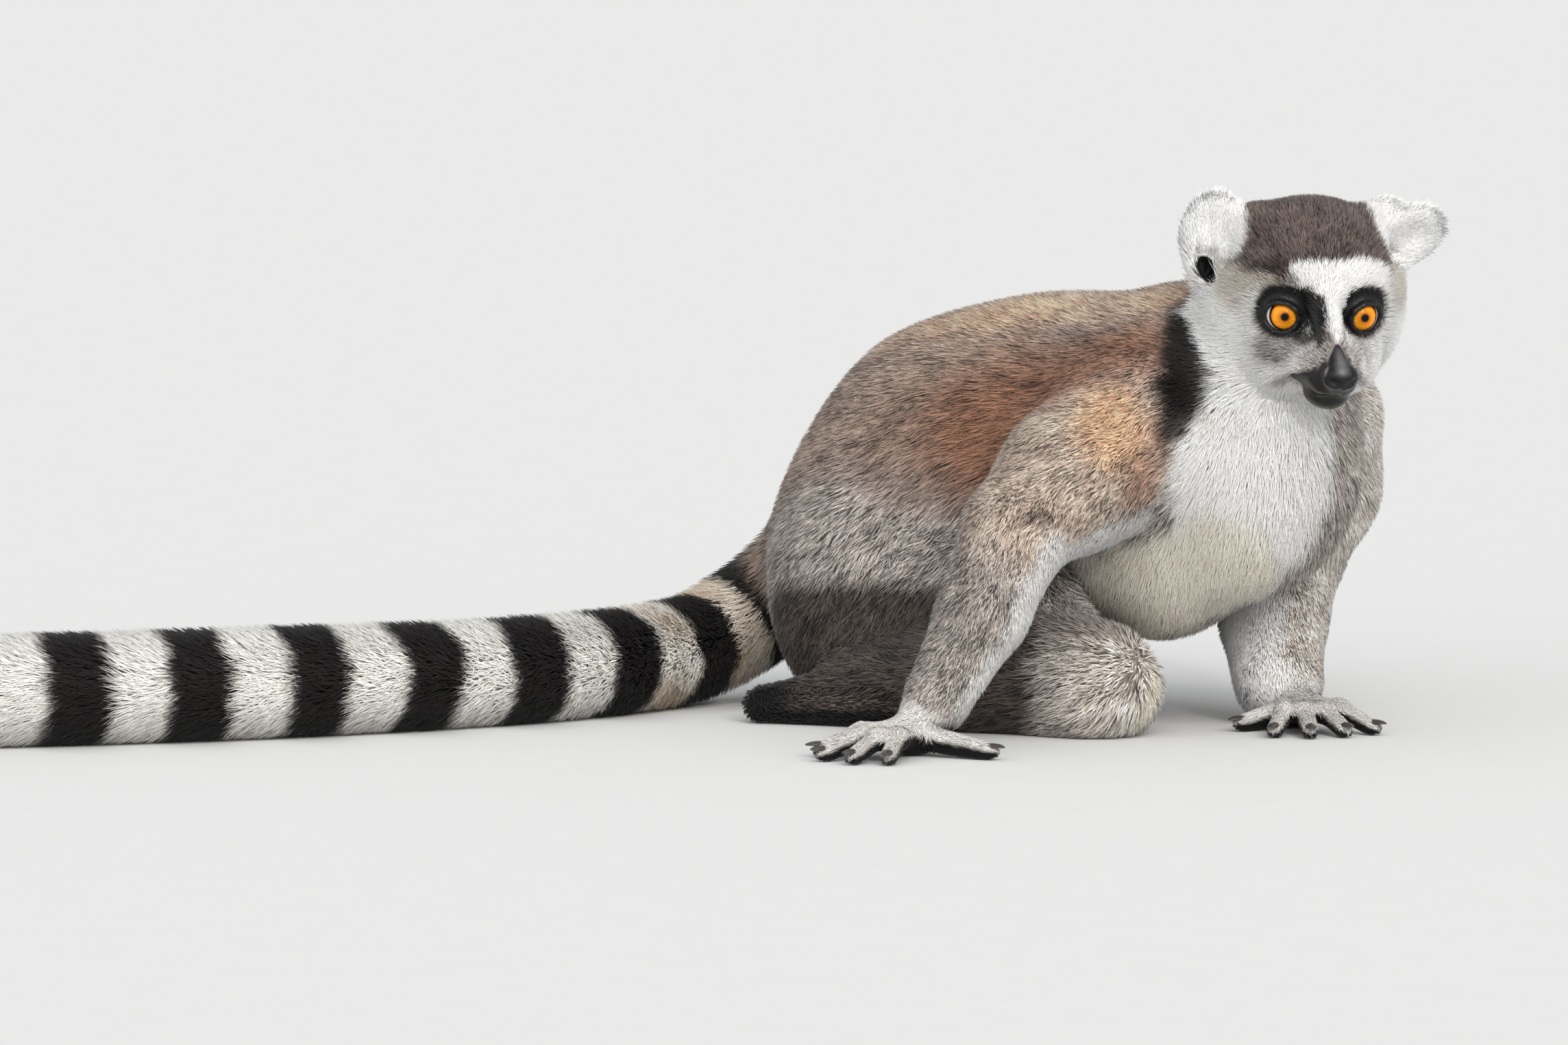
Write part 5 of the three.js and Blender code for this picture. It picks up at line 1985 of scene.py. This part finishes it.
        root, normal = spread(work.vertices), unit(spread(work.normals))
        length, width, ruffle = spread(work.furs)[:, [1, 2, 4]].T
        region = work.regions[faces[np.arange(len(faces)), weights.argmax(axis=1)]]
        lie = self._comb(root, normal, spread(work.lie), ruffle, noise, rng)
        tip, high, flat = self._tips(root, normal, lie, length, body, rng)
        shown = root + lie * (flat * self.shown)[:, None] + rng.normal(0, self.blur, root.shape).astype(np.float32)
        rows = markings.at(shown, normal, region)
        points, facing = self._blades(root, normal, lie, tip, high, width * self.coarse(region, normal), rng)
        colours = self._tones(root, rows, noise, rng)
        finishes = {slot: CoatFinish(slot).make() for slot in sorted(set(self.slots.values()))}
        maps = self.unwraps()
        pieces = []
        for each in Region:
            mine = region == each.value
            if mine.any():
                slot = self.slots[each]
                pieces.append(self._piece(each.value, finishes[slot], points[mine], facing[mine],
                                          colours[mine], maps[each].at(root[mine])))
        LOG.info("coat: %d tufts", len(root))
        return pieces

    def _comb(self, root: Array, normal: Array, lie: Array, ruffle: Array, noise: Noise,
              rng: np.random.Generator) -> Array:
        """The way each tuft lies along the skin, in locks that gather and with single tufts that stray.

        Args:
            root: n by 3 places in the figure's frame.
            normal: the way the skin faces there.
            lie: the way the coat lies there.
            ruffle: how far tufts stray there.
            noise: the waves that make locks.
            rng: the seeded draws.

        Returns:
            n by 3 directions.
        """
        waves = sum(noise.at(root, scale) * reach for scale, reach in self.locks)
        stray = rng.normal(0, 1, root.shape).astype(np.float32)
        lie = unit(lie) + (waves * self.gather + stray * self.stray) * ruffle[:, None]
        return unit(lie - normal * np.einsum("ij,ij->i", lie, normal)[:, None])

    def _tips(self, root: Array, normal: Array, lie: Array, length: Array, body: Body,
              rng: np.random.Generator) -> tuple[Array, Array, Array]:
        """The tip of each tuft near the surface that the coat reaches, its height and how far along it lies.

        Args:
            root: n by 3 places in the figure's frame.
            normal: the way the skin faces there.
            lie: the way each tuft lies.
            length: that of the coat there.
            body: the fields of skin and tips.
            rng: the seeded draws.

        Returns:
            n by 3 places, n heights over the skin and n lengths along it.
        """
        count = len(root)
        reach = np.maximum(-body_tips(body, root), self.least_reach)
        long = length * rng.uniform(*self.lengths, count)
        high = np.minimum(reach * rng.uniform(*self.heights, count), long * self.steepest)
        flat = np.sqrt(np.maximum(long**2 - high**2, 0.01))
        tip = root + lie * flat[:, None] + normal * high[:, None]
        over = body_tips(body, tip) - rng.uniform(*self.uneven, count) * reach
        tip -= normal * np.clip(over, -self.pull[0] * reach, self.pull[1] * high)[:, None]
        tip[:, 2] = np.maximum(tip[:, 2], self.floor)
        return tip, high, flat

    def _blades(self, root: Array, normal: Array, lie: Array, tip: Array, high: Array, width: Array,
                rng: np.random.Generator) -> tuple[Array, Array]:
        """The four corners of each tuft, and the way it is shaded as facing at each of them.

        Args:
            root: n by 3 places in the figure's frame.
            normal: the way the skin faces there.
            lie: the way each tuft lies.
            tip: where it ends.
            high: how far it stands up.
            width: that of the coat there.
            rng: the seeded draws.

        Returns:
            n by 4 by 3 places, and as many unit vectors.
        """
        count = len(root)
        middle = (root * (1 - self.middle) + tip * self.middle
                  + normal * (self.thick + self.arch * high)[:, None])
        middle[:, 2] = np.maximum(middle[:, 2], self.floor + 0.1)
        wide = (width * rng.uniform(*self.widths, count) / 2)[:, None]
        tilt = rng.uniform(-self.tilt, self.tilt, count)[:, None].astype(np.float32)
        side = np.cross(normal, lie)
        across = unit(side + normal * tilt)
        start = root - normal * self.root_sink
        start[:, 2] = np.maximum(start[:, 2], self.floor - 0.1)
        points = np.stack([start, middle - across * wide, middle + across * wide, tip], axis=1)
        facing = np.stack([normal, unit(normal - side * self.round), unit(normal + side * self.round),
                           unit(normal + lie * 0.25)], axis=1)
        return points, facing

    def _tones(self, root: Array, rows: Array, noise: Noise, rng: np.random.Generator) -> Array:
        """The colour at the corners of each tuft: its own tone, darker at the root where the coat is dark.

        Args:
            root: n by 3 places in the figure's frame.
            rows: colour and grain of each tuft.
            noise: the waves of the grain.
            rng: the seeded draws.

        Returns:
            n by 4 by 4 numbers, colour and opacity.
        """
        count = len(root)
        ripple = noise.at(root * vec(*self.ripple_squash), self.ripple_scale)[:, 2]
        tone = 1.0 + rows[:, 3] * (rng.uniform(-1, 1, count) * self.pepper
                                   + noise.at(root, self.cloud_scale)[:, 1] * self.cloud + ripple * self.ripple)
        shade = np.clip(tone, *self.tones)[:, None] * rows[:, :3]
        bright = np.clip(rows[:, :3].mean(axis=1), 0, 1)
        root_step = self.root_shade[0] + self.root_shade[1] * bright
        middle_step = 0.45 + root_step / 2 + 0.05
        steps = np.stack([root_step, middle_step, middle_step, self.tip_shade[0] - self.tip_shade[1] * bright],
                         axis=1)
        colours = np.ones((count, 4, 4), dtype=np.float32)
        colours[:, :, :3] = np.clip(shade[:, None, :] * steps[:, :, None], 0.0, self.lightest)
        return colours

    def _piece(self, name: str, finish: bpy.types.Material, points: Array, facing: Array,
               colours: Array, spots: Array) -> bpy.types.Object:
        """Joins the tufts of one region into a piece with its flat map.

        Args:
            name: the piece's name.
            finish: its material.
            points: n by 4 corners of tufts.
            facing: the way each corner is shaded as facing.
            colours: the colour of each corner.
            spots: places of the tufts on the flat map.

        Returns:
            The piece.
        """
        if len(points) > self.most:
            LOG.warning("%s has %d tufts, over %d", name, len(points), self.most)
        root, right, left, tip = range(4)
        tuft = np.array([(root, right, left), (tip, left, right), (root, left, tip), (root, tip, right)])
        faces = (np.arange(len(points))[:, None, None] * 4 + tuft).reshape(-1, 3)
        piece = make_piece(name, points.reshape(-1, 3), faces, finish)
        set_values(piece, "coat_colour", "FLOAT_COLOR", colours)
        set_values(piece, "custom_normal", "FLOAT_VECTOR", facing)
        h = self.patch
        diamond = np.array([(0, -h), (h, 0), (-h, 0), (0, h)])
        corners = diamond[tuft][None] + spots[:, None, None, :]
        layer = piece.data.uv_layers.new(name="OFBake")
        layer.data.foreach_set("uv", corners.astype(np.float32).ravel())
        return piece


def body_tips(body: Body, points: Array) -> Array:
    """Distance to the tips of the coat, worked out in stretches to spare memory."""
    parts = np.array_split(points.astype(np.float32), STRETCHES["tips"])
    return np.concatenate([body.tips(part) for part in parts])


# ---------------------------------------------------------------- eyes
@dataclass(frozen=True)
class Eye:
    """One eyeball with its domed cornea, meshed in rings round the way it looks."""

    side: int
    rings: int = 64
    sectors: int = 72
    dome: float = 0.55
    dome_width: float = 0.62
    rim: float = 1.02  # where the stored reach is 1, in radians from the gaze
    ray_twist: float = 0.35  # how much the rays change on their way out

    @property
    def name(self) -> str:
        """Right or left."""
        return "right" if self.side < 0 else "left"

    def build(self, finish: bpy.types.Material) -> bpy.types.Object:
        """Makes the eyeball in place of its node.

        Args:
            finish: its material.

        Returns:
            The piece.
        """
        gaze = HEAD.gaze(self.side)
        across = unit(np.cross(vec(0, 0, 1), gaze))
        over = np.cross(gaze, across)
        polar = np.linspace(0, math.pi, self.rings + 1)[1:-1]
        turn = np.arange(self.sectors) * 2 * math.pi / self.sectors
        p, t = np.meshgrid(polar, turn, indexing="ij")
        p, t = np.concatenate([[0.0, math.pi], p.ravel()]), np.concatenate([[0.0, 0.0], t.ravel()])
        radius = HEAD.eye_radius + self.dome * np.exp(-((p / self.dome_width) ** 2))
        local = np.stack([np.cos(p), np.sin(p) * np.cos(t), np.sin(p) * np.sin(t)], axis=1)
        points = HEAD.eye_centre(self.side) + radius[:, None] * (local @ np.array([gaze, across, over]))
        faces = self._faces()
        piece = make_piece(f"eyeball_{self.name}", points.astype(np.float32), faces, finish)
        set_values(piece, "eye_reach", "FLOAT", np.clip(p / self.rim, 0, 1))
        rays = np.stack([np.cos(t), np.sin(t), p * self.ray_twist], axis=1)
        set_values(piece, "eye_ray", "FLOAT_VECTOR", rays)
        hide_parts(f"eye_{self.name}")
        return piece

    def _faces(self) -> Array:
        """Triangles between the rings and at the two poles, which are the first two vertices.

        Returns:
            Triangles.
        """
        rings, n = self.rings - 1, self.sectors
        k = np.arange(n)
        after = (k + 1) % n
        last = 2 + (rings - 1) * n
        return np.concatenate([
            np.stack([np.zeros(n, int), 2 + k, 2 + after], axis=1), 2 + ring_strips(rings, n),
            np.stack([np.ones(n, int), last + after, last + k], axis=1),
        ])


# ---------------------------------------------------------------- nails
@dataclass(frozen=True)
class Nails:
    """The flat dark nails of one hand, a small arched plate on the tip of each digit."""

    name: str
    hand: Hand
    length: float = 4.2
    width: float = 2.3
    thick: float = 0.8
    arch: tuple[float, float] = (0.9, 0.5)  # how far it curves down to its sides and to its end
    place: tuple[float, float] = (2.6, 2.9)  # its middle, ahead of the digit's tip and over it
    dip: float = -2.0
    rings: int = 9
    sectors: int = 16

    def build(self, finish: bpy.types.Material) -> bpy.types.Object:
        """Makes the nails of the hand as one piece.

        Args:
            finish: their material.

        Returns:
            The piece.
        """
        polar, turn = np.meshgrid(np.linspace(0, math.pi, self.rings), np.arange(self.sectors) * 2 * math.pi
                                  / self.sectors, indexing="ij")
        along, across, over = np.cos(polar), np.sin(polar) * np.cos(turn), np.sin(polar) * np.sin(turn)
        over = over - self.arch[0] * across**2 - self.arch[1] * np.clip(along, 0, 1) ** 2
        local = np.stack([along * self.length, across * self.width, over * self.thick], axis=-1).reshape(-1, 3)
        shell = ring_strips(self.rings, self.sectors)
        points, faces = [], []
        for tip in (*self.hand.tips, self.hand.thumb):
            way = unit(vec(tip[0] - self.hand.palm[0], tip[1] - self.hand.palm[1], self.dip))
            side = unit(np.cross(vec(0, 0, 1), way))
            frame_of = np.array([way, side, np.cross(way, side)], dtype=np.float32)
            middle = vec(*tip) + way * self.place[0] + frame_of[2] * self.place[1]
            faces.append(shell + len(points) * len(local))
            points.append(middle + local @ frame_of)
        vertices = np.concatenate(points).astype(np.float32)
        vertices[:, 2] = np.maximum(vertices[:, 2], 0.4)
        return make_piece(f"nails_{self.name}", vertices, np.concatenate(faces), finish)


# ---------------------------------------------------------------- studio
@dataclass(frozen=True)
class Studio:
    """A pale floor, soft lamps and the camera."""

    floor_half: float = 40.0
    floor_colour: tuple[int, ...] = (226, 226, 224)
    camera_distance: float = 4.5
    elevation: float = 5.0
    frame_width: float = 0.6349
    sensor: float = 36.0
    aim: tuple[float, ...] = (-127.0, 0.0, 82.8)
    # each lamp's name, the way it shines, its power, how many degrees of sky it fills, its colour
    lamps: tuple[tuple[str, tuple[float, ...], float, float, tuple[float, ...]], ...] = (
        ("key", (-0.22, 0.72, -0.66), 1.05, 35, (1.0, 0.975, 0.94)),
        ("spark", (-0.3, 0.85, -0.43), 0.55, 7, (1.0, 0.99, 0.97)),
        ("front", (0.04, 0.97, -0.24), 0.9, 60, (1.0, 0.985, 0.96)),
        ("fill", (0.8, 0.7, -0.42), 0.42, 50, (0.94, 0.97, 1.0)),
        ("side", (-0.78, 0.6, -0.3), 0.5, 50, (1.0, 0.99, 0.97)),
    )
    sky_colour: tuple[float, ...] = (0.95, 0.97, 1.0, 1.0)
    sky_strength: float = 0.66

    def floor(self) -> None:
        """The floor the animal stands on."""
        half = self.floor_half
        mesh = bpy.data.meshes.new("floor")
        corners = [(-half, -half, 0), (half, -half, 0), (half, half, 0), (-half, half, 0)]
        mesh.from_pydata(corners, [], [(0, 1, 2, 3)])
        nodes = Nodes("floor")
        speckle = nodes.noise(40.0, 2.0)
        base = nodes.add("ShaderNodeRGB")
        base.outputs[0].default_value = (*linear(*self.floor_colour), 1.0)
        nodes.link(nodes.times(base.outputs[0], nodes.ranged(speckle, 0.985, 1.0)), nodes.shader.inputs["Base Color"])
        nodes.put({"Roughness": 0.9, "Specular IOR Level": 0.1})
        mesh.materials.append(nodes.material)
        placed("floor", mesh)

    def lamp(self, name: str, towards: Sequence[float], strength: float, spread: float,
             colour: Sequence[float]) -> None:
        """A soft distant lamp that shines one way.

        Args:
            name: its name.
            towards: the way it shines.
            strength: its power.
            spread: degrees of sky that it fills.
            colour: linear red, green and blue.
        """
        light = bpy.data.lights.new(name, "SUN")
        light.energy = strength
        light.angle = math.radians(spread)
        light.color = colour
        lamp = placed(name, light)
        lamp.rotation_mode = "QUATERNION"
        lamp.rotation_quaternion = Vector(towards).to_track_quat("-Z", "Y")

    def light(self) -> None:
        """Key and front lamps, a small one for the glint in the eyes, a fill from either side and an even sky."""
        for lamp in self.lamps:
            self.lamp(*lamp)
        world = bpy.data.worlds.new("studio")
        bpy.context.scene.world = world
        world.use_nodes = True
        tree = world.node_tree
        sky = tree.nodes["Background"]
        sky.inputs["Color"].default_value = self.sky_colour
        sky.inputs["Strength"].default_value = self.sky_strength
        bright = tree.nodes.new("ShaderNodeBackground")
        bright.inputs["Color"].default_value = (1.0, 1.0, 1.0, 1.0)
        path = tree.nodes.new("ShaderNodeLightPath")
        mix = tree.nodes.new("ShaderNodeMixShader")
        tree.links.new(path.outputs["Is Camera Ray"], mix.inputs["Fac"])
        tree.links.new(sky.outputs["Background"], mix.inputs[1])
        tree.links.new(bright.outputs["Background"], mix.inputs[2])
        tree.links.new(mix.outputs["Shader"], tree.nodes["World Output"].inputs["Surface"])

    def camera(self) -> None:
        """The camera, looking a little down at the animal's right side."""
        lens = bpy.data.cameras.new("camera")
        lens.sensor_width = self.sensor
        lens.lens = self.sensor * self.camera_distance / self.frame_width
        lens.clip_end = 200.0
        camera = placed("camera", lens)
        rise = math.radians(self.elevation)
        back = Vector((0.0, -math.cos(rise), math.sin(rise)))
        aim = Vector([float(v) for v in (vec(*self.aim) + SHIFT) * MM])
        camera.location = aim + back * self.camera_distance
        camera.rotation_mode = "QUATERNION"
        camera.rotation_quaternion = (-back).to_track_quat("-Z", "Y")
        bpy.context.scene.camera = camera
        bpy.context.scene.view_settings.view_transform = "Standard"


# ---------------------------------------------------------------- the order of work
def main() -> None:
    """Builds the studio, the eyes, the nails, the skin and the coat, and reports each piece."""
    logging.basicConfig(level=logging.INFO, format="%(message)s")
    studio = Studio()
    studio.camera()
    studio.floor()
    studio.light()
    eye_finish = EyeFinish().make()
    for side in (-1, 1):
        Eye(side).build(eye_finish)
    horn = NailFinish().make()
    for name, hand in (("right", RIGHT_HAND), ("left", LEFT_HAND)):
        Nails(name, hand).build(horn)
    body = whole_body()
    markings = Markings()
    skin = Skin()
    work = skin.mould(body)
    skin.dress(work, markings)
    Coat().grow(work, body, markings)


if __name__ == "__main__":
    main()
